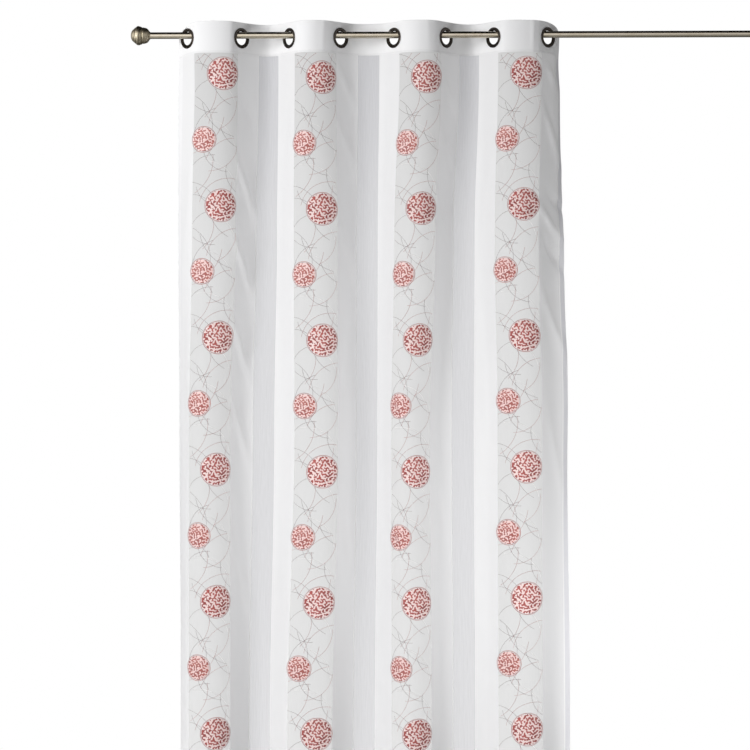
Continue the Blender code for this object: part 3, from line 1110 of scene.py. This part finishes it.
# --- The cloth ----------------------------------------------------------------
@dataclass
class CurtainCloth:
    """The panel, the turned-over heading and the hems."""

    drape: Drape
    cell: float = 0.006
    cells_at_eyelet: int = 12
    cells_in_bay: int = 20
    cells_right_flap: int = 6
    hole_rings: int = 3
    fold_radius: float = 0.00085
    fold_steps: int = 6
    bottom_hem: float = 0.060
    hem_gap: float = 0.0006
    rows_beside_square: int = 2
    side_hem_columns: int = 4
    seam_step: float = 0.004
    side_seam_step: float = 0.008
    seam_inset: float = 0.002
    heading_seams: Pair = (0.0012, 0.0068)
    thread_lift: float = 0.0001

    def columns(self) -> tuple[list[float], list[int]]:
        """Distances across of the grid's columns, and each eyelet's first column.

        Returns:
            The distances, and the index of each eyelet's first column.
        """
        half = self.cell * self.cells_at_eyelet / 2
        columns, firsts = [0.0], []
        for i, thread in enumerate(EYELET_ACROSS):
            if i:
                columns += list(np.linspace(columns[-1], thread - half, self.cells_in_bay + 1)[1:-1])
            firsts.append(len(columns))
            columns += list(thread - half + self.cell * np.arange(self.cells_at_eyelet + 1))
        columns += list(np.linspace(columns[-1], PANEL_WIDTH, self.cells_right_flap + 1)[1:])
        return columns, firsts

    def eyelet_rows(self) -> list[float]:
        """Heights of the rows from the heading's foot up to just under the top fold.

        Returns:
            World heights, from the lowest up.
        """
        half = self.cell * self.cells_at_eyelet / 2
        low, high = EYELET_HEIGHT - half, EYELET_HEIGHT + half
        top = TOP_HEIGHT - self.fold_radius
        square = list(low + self.cell * np.arange(self.cells_at_eyelet + 1))
        return [HEADING_FOOT, (HEADING_FOOT + low) / 2, *square, (high + top) / 2, top]

    def layer(self, name: str, rows: list[Pair], first_row: int, finish: Material) -> Piece:
        """A full-width layer of cloth with a round hole at each eyelet.

        Args:
            name: The new piece's name.
            rows: (height, forward) of each row, walking along the cloth.
            first_row: The first row of the square of cells round the eyelets.
            finish: Its material.

        Returns:
            The layer, laid on the folds.
        """
        columns, firsts = self.columns()
        count = self.cells_at_eyelet
        square = [(r, c) for r in range(count) for c in range(count)]
        patch = ClothPatch()
        open_cells = [(first_row + r, first + c) for first in firsts for r, c in square]
        number = patch.add_grid(columns, rows, open_cells)
        around = [(0, k) for k in range(count)] + [(k, count) for k in range(count)]
        around += [(count, count - k) for k in range(count)] + [(count - k, 0) for k in range(count)]
        for first, centre in zip(firsts, EYELET_ACROSS):
            outer = [number[first_row + r, first + c] for r, c in around]
            spokes = [patch.points[k] for k in outer]
            for ring in range(1, self.hole_rings + 1):
                inner = []
                for across, height, forward in spokes:
                    out = Vector((across - centre, height - EYELET_HEIGHT))
                    out = out.lerp(out.normalized() * CLOTH_HOLE_RADIUS, ring / self.hole_rings)
                    inner.append(patch.add(centre + out.x, EYELET_HEIGHT + out.y, forward))
                patch.faces += faces_between(outer, inner)
                outer = inner
        return new_object(name, patch.mesh(name, self.drape), finish)

    def panel(self, finish: Material) -> Piece:
        """The full-length voile panel.

        Args:
            finish: The material that it gets.

        Returns:
            The panel.
        """
        rows = [(float(h), PANEL_FORWARD) for h in self.drape.rows[:-1]]
        first_row = len(rows) + self.rows_beside_square
        rows += [(h, PANEL_FORWARD) for h in self.eyelet_rows()]
        return self.layer("voile_sheet", rows, first_row, finish)

    def heading(self, finish: Material) -> Piece:
        """The top fold and the heading's back, down to its stitched foot.

        Args:
            finish: The material that it gets.

        Returns:
            The heading.
        """
        middle = (PANEL_FORWARD - HEADING_BACK) / 2
        radius = (PANEL_FORWARD + HEADING_BACK) / 2
        top = TOP_HEIGHT - self.fold_radius
        rows = []
        for angle in np.linspace(0, math.pi, self.fold_steps + 1)[:-1]:
            rows.append((top + self.fold_radius * math.sin(angle), middle + radius * math.cos(angle)))
        first_row = len(rows) + self.rows_beside_square
        rows += [(h, -HEADING_BACK) for h in reversed(self.eyelet_rows())]
        return self.layer("heading_turnover", rows, first_row, finish)

    def hems(self, finish: Material) -> Piece:
        """The side and bottom hems, turned to the back of the panel.

        Args:
            finish: The material that it gets.

        Returns:
            The hems, as one piece.
        """
        back = PANEL_FORWARD - self.hem_gap
        hem_top = HEM_HEIGHT + self.bottom_hem
        columns, _ = self.columns()
        heights = [float(h) for h in self.drape.rows if h < HEADING_FOOT - self.hem_gap]
        patch = ClothPatch()
        turned = [(HEM_HEIGHT, PANEL_FORWARD), (HEM_HEIGHT + self.hem_gap, back)]
        turned += [(h, back) for h in heights[1:] if h < hem_top] + [(hem_top, back)]
        patch.add_grid(columns[::-1], turned)
        above = [(hem_top, back)] + [(h, back) for h in heights if h > hem_top]
        for inner, outer in ((SIDE_HEM, 0.0), (PANEL_WIDTH - SIDE_HEM, PANEL_WIDTH)):
            strip = sorted(np.linspace(inner, outer, self.side_hem_columns), reverse=True)
            patch.add_grid([float(a) for a in strip], above)
        return new_object("turned_hems", patch.mesh("turned_hems", self.drape), finish)

    def seams(self) -> Mesh:
        """Lines that the machine stitching follows: heading foot, hem top and side hems.

        Returns:
            A mesh of edges.
        """
        patch = ClothPatch()
        across = np.arange(self.seam_inset, PANEL_WIDTH - self.seam_inset / 2, self.seam_step)
        for above_foot in self.heading_seams:
            line = np.full_like(across, HEADING_FOOT + above_foot)
            patch.add_line(across, line, PANEL_FORWARD + self.thread_lift)
            patch.add_line(across, line, -HEADING_BACK - self.thread_lift)
        hem_top = HEM_HEIGHT + self.bottom_hem - self.seam_inset
        patch.add_line(across, np.full_like(across, hem_top), PANEL_FORWARD)
        heights = np.arange(hem_top, HEADING_FOOT, self.side_seam_step)
        for line in (SIDE_HEM - self.seam_inset, PANEL_WIDTH - SIDE_HEM + self.seam_inset):
            patch.add_line(np.full_like(heights, line), heights, PANEL_FORWARD)
        return patch.mesh("seam_lines", self.drape)


# --- The embroidery -----------------------------------------------------------
class Tone(Enum):
    """Threads of the fine arcs."""

    ROSE = "#9E5653"
    TAUPE = "#654E4F"
    PALE = "#F4F0EF"


ARC_TONES = (Tone.TAUPE, Tone.ROSE, Tone.TAUPE, Tone.TAUPE, Tone.PALE, Tone.ROSE, Tone.TAUPE, Tone.ROSE)


@dataclass(frozen=True)
class Arc:
    """One arc of thread within a repeat.

    x runs from the stripe's left edge to the arc's middle, y down from the large disc's.
    The lean is measured from upright, in radians.
    """

    x: float
    y: float
    lean: float
    length: float
    bow: float
    tone: Tone

    def points(self, step: float) -> Array:
        """Points along the arc about a step apart, as (x, y).

        Args:
            step: Distance from one point to the next.

        Returns:
            The points in order.
        """
        half_sweep = 2 * math.atan(2 * self.bow / self.length)
        radius = self.length / (2 * math.sin(half_sweep))
        turns = np.linspace(-half_sweep, half_sweep, round(self.length / step) + 1)
        way = np.array((math.sin(self.lean), math.cos(self.lean)))
        side = np.array((-way[1], way[0]))
        along = radius * np.sin(turns)
        aside = radius * (np.cos(turns) - math.cos(half_sweep)) - self.bow / 2
        return np.array((self.x, self.y)) + along[:, None] * way + aside[:, None] * side


@dataclass(frozen=True)
class ArcNet:
    """A loose net of crossing arcs, spread evenly by a rule of its own with a fixed seed."""

    count: int = 27
    seed: int = 64
    margin: float = 0.010
    first_share: float = 0.31
    golden_share: float = 0.618034
    jitter: float = 0.25
    lean: Pair = (8.0, 62.0)
    length: Pair = (0.084, 0.150)
    bow_share: Pair = (0.14, 0.24)
    tones: tuple[Tone, ...] = ARC_TONES

    def arcs(self, width: float, repeat: float) -> list[Arc]:
        """Lay out one repeat.

        Args:
            width: Width of the stripe.
            repeat: Height of the repeat.

        Returns:
            The arcs, leaning and bowing by turns to both sides.
        """
        chance = random.Random(self.seed)
        made = []
        for k in range(self.count):
            y = (k + chance.uniform(-self.jitter, self.jitter)) / self.count * repeat
            share = (self.first_share + k * self.golden_share) % 1
            x = self.margin + (width - 2 * self.margin) * share
            lean = math.radians((-1) ** k * chance.uniform(*self.lean))
            length = chance.uniform(*self.length)
            bow = (-1) ** (k // 2 + 1) * length * chance.uniform(*self.bow_share)
            made.append(Arc(x, y, lean, length, bow, self.tones[k % len(self.tones)]))
        return made


@dataclass(frozen=True)
class DiscKind:
    """One size of embroidered disc: its radius and its place in the repeat."""

    radius: float
    x: float
    y: float
    rings: int
    segments: int
    pattern_scale: float


@dataclass(frozen=True)
class EmbroideredStripe:
    """How one embroidered stripe has settled: its lift at the top and at the hem."""

    index: int
    lift_top: float
    lift_hem: float


@dataclass
class Embroidery:
    """Coral discs, large and small by turns, and the arcs between them."""

    drape: Drape
    first_disc: float = -0.1315
    repeat: float = 0.3925
    repeats: int = 6
    outline_gap: float = 0.0028
    crown: float = 0.0007
    rim: float = 0.0002
    clear_of_seams: float = 0.004
    clear_of_edges: float = 0.001
    arc_step: float = 0.003
    least_run: int = 4
    large: DiscKind = DiscKind(0.0490, 0.0915, 0.0, 9, 40, 1.0)
    small: DiscKind = DiscKind(0.0385, 0.0335, 0.196, 7, 32, 1.10)
    net: ArcNet = ArcNet()
    stripes: tuple[EmbroideredStripe, ...] = (
        EmbroideredStripe(0, 0.013, 0.000),
        EmbroideredStripe(1, 0.000, 0.000),
        EmbroideredStripe(2, 0.001, 0.000),
        EmbroideredStripe(3, 0.013, 0.018),
    )

    def settle(self, stripe: EmbroideredStripe, x: Array, y: Array, turn: int) -> tuple[Array, Array]:
        """Turn places within a repeat into places on the cloth.

        Args:
            stripe: The embroidered stripe.
            x: Distances from the stripe's left edge.
            y: Distances down from the repeat's large disc.
            turn: Which repeat, counted from the top.

        Returns:
            The distances across and the heights.
        """
        across = STRIPES.first + stripe.index * STRIPES.repeat + x
        down = turn * self.repeat + y
        lift = stripe.lift_top + down / PANEL_LENGTH * (stripe.lift_hem - stripe.lift_top)
        return across, self.first_disc - down + lift

    def places(self, kind: DiscKind) -> Iterable[tuple[EmbroideredStripe, int]]:
        """Stripe and repeat of every disc of one kind that fits above the hem.

        Args:
            kind: Which discs.

        Returns:
            Each disc's stripe and repeat, one at a time.
        """
        for stripe in self.stripes:
            for turn in range(self.repeats):
                _, height = self.settle(stripe, 0.0, kind.y, turn)
                if height - kind.radius > HEM_HEIGHT + self.clear_of_seams:
                    yield stripe, turn

    def discs(self, name: str, kind: DiscKind, finish: Material) -> Piece:
        """Padded discs of one kind, a little proud of the cloth on both its faces.

        Args:
            name: The piece's name.
            kind: Which discs.
            finish: The material that it gets.

        Returns:
            The discs, as one piece.
        """
        patch, pattern = ClothPatch(), []
        angles = 2 * math.pi * np.arange(kind.segments) / kind.segments
        for stripe, turn in self.places(kind):
            front, back = [], []
            for ring in range(kind.rings + 1):
                share = math.sin(math.pi / 2 * ring / kind.rings)
                radius = (kind.radius - self.outline_gap) * share
                raised = self.rim + (self.crown - self.rim) * math.sqrt(max(0.0, 1 - share**4))
                spokes = angles if ring else angles[:1]
                x, y = kind.x + radius * np.cos(spokes), kind.y - radius * np.sin(spokes)
                across, height = self.settle(stripe, x, y, turn)
                scale = kind.pattern_scale
                for rings, forward in ((front, raised), (back, -raised / 2)):
                    rings.append([patch.add(a, h, PANEL_FORWARD + forward) for a, h in zip(across, height)])
                    pattern += [(scale * (u + kind.y), -scale * v) for u, v in zip(x, y)]
            for rings, way in ((front, 1), (back, -1)):
                for inner, outer in zip(rings, rings[1:]):
                    patch.faces += [face[::way] for face in faces_between(inner, outer, along_first=False)]
            patch.faces += faces_between(front[-1], back[-1], along_first=False)
        return new_object(name, patch.mesh(name, self.drape, np.array(pattern)), finish)

    def outlines(self) -> Mesh:
        """Circles that the discs' edge stitches follow.

        Returns:
            A mesh of edges.
        """
        patch = ClothPatch()
        for kind in (self.large, self.small):
            angles = np.linspace(0, 2 * math.pi, kind.segments + 1)
            x, y = kind.x + kind.radius * np.cos(angles), kind.y - kind.radius * np.sin(angles)
            for stripe, turn in self.places(kind):
                patch.add_line(*self.settle(stripe, x, y, turn), PANEL_FORWARD)
        return patch.mesh("disc_outlines", self.drape)

    def clear_of_discs(self, x: Array, y: Array) -> Array:
        """True where a place within the repeat is on the stripe and beside its discs.

        Args:
            x: Distances across from the stripe's edge.
            y: Distances down within the repeat.

        Returns:
            A truth value for each place.
        """
        free = (x > self.clear_of_edges) & (x < STRIPES.embroidered - self.clear_of_edges)
        for kind in (self.large, self.small):
            down = (y - kind.y + self.repeat / 2) % self.repeat - self.repeat / 2
            free &= np.hypot(x - kind.x, down) > kind.radius + self.clear_of_edges
        return free

    def arcs(self, tone: Tone) -> Mesh:
        """Lines of every arc in one tone of thread, between the heading and the hem.

        Args:
            tone: The tone of thread.

        Returns:
            A mesh of edges.
        """
        patch = ClothPatch()
        arcs = [arc for arc in self.net.arcs(STRIPES.embroidered, self.repeat) if arc.tone is tone]
        top, bottom = HEADING_FOOT - self.clear_of_seams, HEM_HEIGHT + self.clear_of_seams
        for stripe in self.stripes:
            for turn in range(-1, self.repeats + 1):
                for arc in arcs:
                    x, y = arc.points(self.arc_step).T
                    across, height = self.settle(stripe, x, y, turn)
                    kept = (height < top) & (height > bottom) & self.clear_of_discs(x, y)
                    for run in np.split(np.arange(len(x)), np.flatnonzero(np.diff(kept)) + 1):
                        if kept[run[0]] and len(run) >= self.least_run:
                            patch.add_line(across[run], height[run], PANEL_FORWARD)
        return patch.mesh("arc_lines", self.drape)


# --- Hardware -----------------------------------------------------------------
def turned(
    name: str,
    outline: Sequence[Pair],
    segments: int,
    ring: bool = False,
    groove: Callable[[float, float], float] | None = None,
) -> Mesh:
    """Turn an outline about X.

    Args:
        name: The mesh's name.
        outline: (along X, radius) points, running towards +X on the outside.
        segments: Steps round the axis.
        ring: True if the outline closes on itself, as in an eyelet.
        groove: How deep the surface is cut, given the place along X and the angle.

    Returns:
        A closed mesh, with points where an open outline ends at radius 0 and flat
        ends elsewhere.  It carries the depth of its grooves as an attribute.
    """
    angles = 2 * math.pi * np.arange(segments) / segments
    points: list[Point] = []
    rings: list[list[int]] = []
    hollow: list[float] = []
    for place, radius in outline:
        around = angles if radius else angles[:1]
        rings.append(list(range(len(points), len(points) + len(around))))
        for angle in around:
            cut = groove(place, angle) if groove and radius else 0.0
            points.append((place, (radius - cut) * math.cos(angle), (radius - cut) * math.sin(angle)))
            hollow.append(cut * 1000)
    faces: list[Face] = []
    for near, far in zip(rings, rings[1:] + (rings[:1] if ring else [])):
        faces += faces_between(near, far)
    if not ring:
        faces += [tuple(end) for end in (rings[0][::-1], rings[-1]) if len(end) > 1]
    mesh = bpy.data.meshes.new(name)
    mesh.from_pydata(points, [], faces)
    mesh.attributes.new(HOLLOW, "FLOAT", "POINT").data.foreach_set("value", hollow)
    mesh.shade_smooth()
    mesh.set_sharp_from_angle(angle=SHARP_ANGLE)
    return mesh


@dataclass
class Eyelets:
    """Eight pressed eyelets: a domed ring in front and behind, and one rounded bore."""

    drape: Drape
    bore_radius: float = 0.020
    bore_rounding: float = 0.0035
    flange_radius: float = 0.0305
    flange_rounding: float = 0.0018
    barrel_radius: float = 0.0219
    flange_face: float = 0.00185
    rim_thickness: float = 0.0006
    bore_turn: float = 80.0
    bore_points: int = 15
    dome_points: int = 6
    ahead: float = 0.010
    segments: int = 72

    def outline(self) -> list[Pair]:
        """Section of an eyelet, once round, with the front towards -X.

        Returns:
            The section's corners in order.
        """
        face, rim = self.flange_face, self.rim_thickness
        crown = face + 2 * rim
        bore = [
            (crown * math.sin(a), self.bore_radius + self.bore_rounding * (1 - math.cos(a)))
            for a in np.radians(np.linspace(self.bore_turn, -self.bore_turn, self.bore_points))
        ]
        front = []
        for a in np.radians(np.linspace(0, 90, self.dome_points)):
            dome = self.flange_radius - self.flange_rounding + self.flange_rounding * math.sin(a)
            front.append((-face - rim - rim * math.cos(a), dome))
        front += [(-face, self.flange_radius), (-face, self.barrel_radius)]
        return front + [(-x, r) for x, r in reversed(front)] + bore

    def build(self, finish: Material) -> list[Piece]:
        """Clamp one eyelet round each hole, square to the cloth there.

        Args:
            finish: The material that it gets.

        Returns:
            The eyelets, from left to right.
        """
        across = np.array(EYELET_ACROSS)
        height = np.full_like(across, EYELET_HEIGHT)
        middles = self.drape.place(across, height)
        fronts = self.drape.place(across, height, self.ahead)
        made = []
        for i, (middle, front) in enumerate(zip(middles, fronts)):
            back = Vector(middle) - Vector(front)
            turn = Matrix.Rotation(math.atan2(back.y, back.x), 4, "Z")
            mesh = turned(f"eyelet_ring_{i + 1}", self.outline(), self.segments, ring=True)
            mesh.transform(Matrix.Translation(middle) @ turn)
            made.append(new_object(f"eyelet_ring_{i + 1}", mesh, finish))
        return made


@dataclass
class Rod:
    """The round rod."""

    radius: float = 0.010
    length: float = 1.850
    segments: int = 72
    sections: int = 24

    def build(self, finish: Material) -> Piece:
        """Build the rod along X.

        Args:
            finish: The material that it gets.

        Returns:
            The rod.
        """
        half = self.length / 2
        outline = [(x, self.radius) for x in np.linspace(-half, half, self.sections + 1)]
        return new_object("round_rod", turned("round_rod", outline, self.segments), finish)


@dataclass
class Finial:
    """A turned finial: a drum against the rod, a groove, and a head wound with slanting grooves."""

    gap: float = 0.0003
    starts: int = 3
    groove_spacing: float = 0.0078
    groove_depth: float = 0.00055
    grooves_start: float = 0.003
    start_fade: float = 0.004
    grooves_end: float = 0.0545
    end_fade: float = 0.006
    drum_strength: float = 0.35
    drum_steps: int = 6
    head_steps: int = 9
    segments: int = 96
    # (from the rod's end, radius): the drum, its groove, the head and the blunt cone.
    drum: tuple[Pair, ...] = (
        (0.0000, 0.0104),
        (0.0023, 0.0125),
        (0.0061, 0.0180),
        (0.0107, 0.0218),
        (0.0168, 0.0238),
        (0.0220, 0.0246),
        (0.0237, 0.0232),
    )
    head: tuple[Pair, ...] = (
        (0.0237, 0.0232),
        (0.0255, 0.0256),
        (0.0306, 0.0276),
        (0.0367, 0.0288),
        (0.0420, 0.0263),
        (0.0520, 0.0178),
        (0.0558, 0.0130),
        (0.0581, 0.0070),
        (0.0589, 0.0000),
    )

    def groove(self, place: float, angle: float) -> float:
        """Depth of the winding grooves, which fade out at the tip and are faint on the drum.

        Args:
            place: Distance out from the rod's end.
            angle: Angle round the rod's axis.

        Returns:
            The depth in metres.
        """
        tip = min(1.0, max(0.0, (self.grooves_end - place) / self.end_fade))
        drum = min(1.0, max(0.0, (place - self.grooves_start) / self.start_fade))
        strength = tip if place > self.head[0][0] else self.drum_strength * drum
        wave = math.cos(self.starts * angle + 2 * math.pi * place / self.groove_spacing)
        return self.groove_depth * strength * max(0.0, wave) ** 2

    def build(self, side: int, rod: Rod, finish: Material) -> Piece:
        """Build the finial at one end of the rod.

        Args:
            side: -1 for the left end and 1 for the right.
            rod: The rod that it closes.
            finish: Its material.

        Returns:
            The finial's object.
        """
        name = "turned_finial_left" if side < 0 else "turned_finial_right"
        outline = rounded(self.drum, self.drum_steps)[:-1] + rounded(self.head, self.head_steps)
        mesh = turned(name, outline, self.segments, groove=self.groove)
        turn = Matrix.Rotation(math.pi if side < 0 else 0.0, 4, "Z")
        mesh.transform(Matrix.Translation((side * (rod.length / 2 + self.gap), 0, 0)) @ turn)
        return new_object(name, mesh, finish)


def rounded(points: Sequence[Pair], steps: int) -> list[Pair]:
    """A smooth curve through points, in steps from each to the next.

    Args:
        points: Points to pass through.
        steps: Steps from each point to the next.

    Returns:
        The curve's points.
    """
    p = [np.array(q) for q in (points[0], *points, points[-1])]
    curve = []
    for a, b, c, d in zip(p, p[1:], p[2:], p[3:]):
        square, cube = 2 * a - 5 * b + 4 * c - d, 3 * b - a - 3 * c + d
        for t in np.arange(steps) / steps:
            curve.append(0.5 * (2 * b + (c - a) * t + square * t**2 + cube * t**3))
    return [(float(x), max(0.0, float(r))) for x, r in curve] + [tuple(points[-1])]


# --- Studio -------------------------------------------------------------------
@dataclass(frozen=True)
class SoftLight:
    """A softbox: its place, aim, size and power, whether metal mirrors it, and its beam's angle."""

    name: str
    place: Point
    aim: Point
    width: float
    height: float
    power: float
    mirrored: bool = True
    spread: float = 180.0

    def build(self) -> None:
        """Add the light to the scene."""
        data = bpy.data.lights.new(self.name, "AREA")
        data.shape = "RECTANGLE"
        data.size, data.size_y = self.width, self.height
        data.energy = self.power
        data.spread = math.radians(self.spread)
        lamp = bpy.data.objects.new(self.name, data)
        lamp.location = self.place
        lamp.rotation_euler = (Vector(self.aim) - Vector(self.place)).to_track_quat("-Z", "Y").to_euler()
        lamp.visible_camera = False
        lamp.visible_glossy = self.mirrored
        bpy.context.collection.objects.link(lamp)


HEART = (-0.27, 0.0, -1.1)


@dataclass
class Studio:
    """A white studio: camera, soft light, dim surroundings and a pale floor."""

    middle: Point = (-0.250, 0.0, -1.020)
    camera_distance: float = 7.1
    camera_turn: float = math.radians(1.2)
    frame_width: float = 2.25
    floor_drop: float = 0.020
    floor_radius: float = 1.35
    floor_sides: int = 96
    ambient: float = 0.250
    # The mirrored cards' strength, as (from, to, before, beyond), across x and along y.
    card_sides: tuple[float, ...] = (-0.12, 0.14, 1.5, 0.60)
    card_depths: tuple[float, ...] = (-0.1, 0.3, 1.0, 0.25)
    # (height of the direction from straight down, 0, to straight up, 1; colour)
    card_tones: tuple[tuple[float, str], ...] = (
        (0.02, "#9C9B95"),
        (0.20, "#ADAAA4"),
        (0.36, "#F0EDE6"),
        (0.50, "#FFFFFF"),
        (0.70, "#FFFAF3"),
        (0.77, "#8E8780"),
        (0.81, "#15120F"),
        (0.98, "#0C0A09"),
    )
    lights: tuple[SoftLight, ...] = (
        SoftLight("key", (-5.5, -4.6, -0.9), HEART, 2.0, 2.5, 172.0),
        SoftLight("far_left", (-7.0, -1.2, -0.9), HEART, 2.0, 2.5, 23.0),
        SoftLight("high_left", (-4.5, -4.0, 2.2), (-0.27, 0.0, -0.9), 2.0, 2.0, 47.0),
        SoftLight("near_left", (-2.9, -2.4, 0.5), (-0.4, 0.0, -0.6), 1.6, 1.6, 36.0),
        SoftLight("near_right", (1.9, -1.9, -2.9), (-0.2, 0.0, -1.8), 1.6, 1.6, 11.8, False, 76.0),
        SoftLight("back", (1.2, 4.2, 0.0), HEART, 2.5, 2.5, 50.0, mirrored=False),
    )

    def build(self) -> None:
        """Set up the camera, lights, surroundings and floor."""
        self.add_camera()
        for light in self.lights:
            light.build()
        self.add_world()
        self.add_floor()
        bpy.context.scene.view_settings.view_transform = "Standard"

    def add_camera(self) -> None:
        """A long lens square to the curtain, a little to the right of its middle."""
        data = bpy.data.cameras.new("camera")
        data.sensor_width = 36.0
        data.lens = data.sensor_width * self.camera_distance / self.frame_width
        data.clip_end = 60.0
        camera = bpy.data.objects.new("camera", data)
        aside = self.camera_distance * math.sin(self.camera_turn)
        away = self.camera_distance * math.cos(self.camera_turn)
        camera.location = Vector(self.middle) + Vector((aside, -away, 0.0))
        camera.rotation_euler = (math.pi / 2, 0.0, self.camera_turn)
        bpy.context.collection.objects.link(camera)
        bpy.context.scene.camera = camera

    def add_world(self) -> None:
        """White to look at, and dim as light, with soft white cards mirrored by the metal.

        The metal sees a dark ceiling, a bright card in front that is brighter on its
        left, and a dim warm floor.
        """
        world = bpy.data.worlds.new("studio")
        world.use_nodes = True
        nodes = Nodes(world.node_tree)
        direction = nodes.add("ShaderNodeTexCoord").outputs["Generated"]
        x, y, z = nodes.add("ShaderNodeSeparateXYZ", {0: direction}).outputs
        cards = nodes.add("ShaderNodeValToRGB", {0: nodes.ranged(z, -1.0, 1.0)})
        stops = cards.color_ramp.elements
        for place, colour in self.card_tones:
            stops.new(place).color = linear(colour)
        stops.remove(stops[0])
        stops.remove(stops[-1])
        side = nodes.ranged(x, *self.card_sides)
        strength = nodes.math("MULTIPLY", side, nodes.ranged(y, *self.card_depths))
        white = (1, 1, 1, 1)
        mirrored, around, seen = (
            nodes.out("ShaderNodeBackground", {"Color": colour, "Strength": light})
            for colour, light in ((cards.outputs[0], strength), (white, self.ambient), (white, 1.0))
        )
        path = nodes.add("ShaderNodeLightPath").outputs
        for ray, shader in (("Is Glossy Ray", mirrored), ("Is Camera Ray", seen)):
            around = nodes.out("ShaderNodeMixShader", {0: path[ray], 1: around, 2: shader})
        nodes.add("ShaderNodeOutputWorld", {"Surface": around})
        bpy.context.scene.world = world

    def add_floor(self) -> None:
        """A round pale floor, out of the main view; its faint glow stands in for lamps over it."""
        radius, level = self.floor_radius, HEM_HEIGHT - self.floor_drop
        rim = [
            (CURTAIN_MIDDLE + radius * math.cos(a), radius * math.sin(a), level)
            for a in 2 * math.pi * np.arange(self.floor_sides) / self.floor_sides
        ]
        mesh = bpy.data.meshes.new("floor")
        mesh.from_pydata(rim, [], [tuple(range(len(rim)))])
        material, nodes = new_finish("pale_painted_floor")
        looks = {"Base Color": linear("#EFEFEF"), "Roughness": 0.6}
        looks |= {"Emission Color": linear("#FFFFFF"), "Emission Strength": 0.12}
        nodes.principled(looks)
        floor = new_object("floor", mesh, material)
        floor.visible_glossy = False


# --- Assembly -----------------------------------------------------------------
def main() -> None:
    """Build every piece in order and report it."""
    logging.basicConfig(level=logging.INFO, format="%(name)s: %(message)s")
    Studio().build()
    drape = Drape()
    stitches = StitchTree()
    white_thread = ThreadFinish("white_polyester_thread", "#FBFBFC").build()
    coral_thread = ThreadFinish("coral_rayon_thread", "#B8564E").build()
    doubled = StiffenedClothFinish().build()

    cloth = CurtainCloth(drape)
    panel = dress(cloth.panel(VoileFinish().build()), "voile", "voile_panel")
    heading = dress(cloth.heading(doubled), "heading", "heading_band")
    hems = dress(cloth.hems(doubled), "voile")
    seams = dress(stitches.sew("machine_stitching", cloth.seams(), white_thread, SEAM_STITCH), "voile")

    embroidery = Embroidery(drape)
    deep_coral = CoralFillFinish("deep_coral_embroidery", "#B8605B", "#974745", "#F8DFDC").build()
    light_coral = CoralFillFinish("light_coral_embroidery", "#B26861", "#9C534E", "#F0D0CD").build()
    large = dress(embroidery.discs("large_discs", embroidery.large, deep_coral), "voile")
    small = dress(embroidery.discs("small_discs", embroidery.small, light_coral), "voile")
    outlines = stitches.sew("disc_edge_stitches", embroidery.outlines(), coral_thread, EDGE_STITCH)
    sewn = [hems, seams, large, small, dress(outlines, "voile")]
    for tone in Tone:
        name = tone.name.lower()
        thread = ThreadFinish(f"{name}_arc_thread", tone.value).build()
        piece = stitches.sew(f"{name}_arcs", embroidery.arcs(tone), thread, ARC_STITCH)
        sewn.append(dress(piece, "voile"))

    dark = PlatedMetalFinish("black_nickel_polished", "#45403D", "#4B4642", "#26231F", 0.17).build()
    for i, ring in enumerate(Eyelets(drape).build(dark)):
        dress(ring, "eyelet_metal", f"eyelet_{i + 1}")

    marks = 0.0000005
    brushed = PlatedMetalFinish("antique_nickel_brushed", "#D2CABC", "#CBC2B1", "#5E584A", 0.24, marks)
    rod = Rod()
    dress(rod.build(brushed.build()), "rod_metal", "rod")
    antique = PlatedMetalFinish("antique_nickel_cast", "#B7AE9B", "#A79E89", "#4F4B3E", 0.40, marks)
    cast = antique.build()
    for side, node in ((-1, "finial_left"), (1, "finial_right")):
        dress(Finial().build(side, rod, cast), "rod_metal", node)


if __name__ == "__main__":
    main()
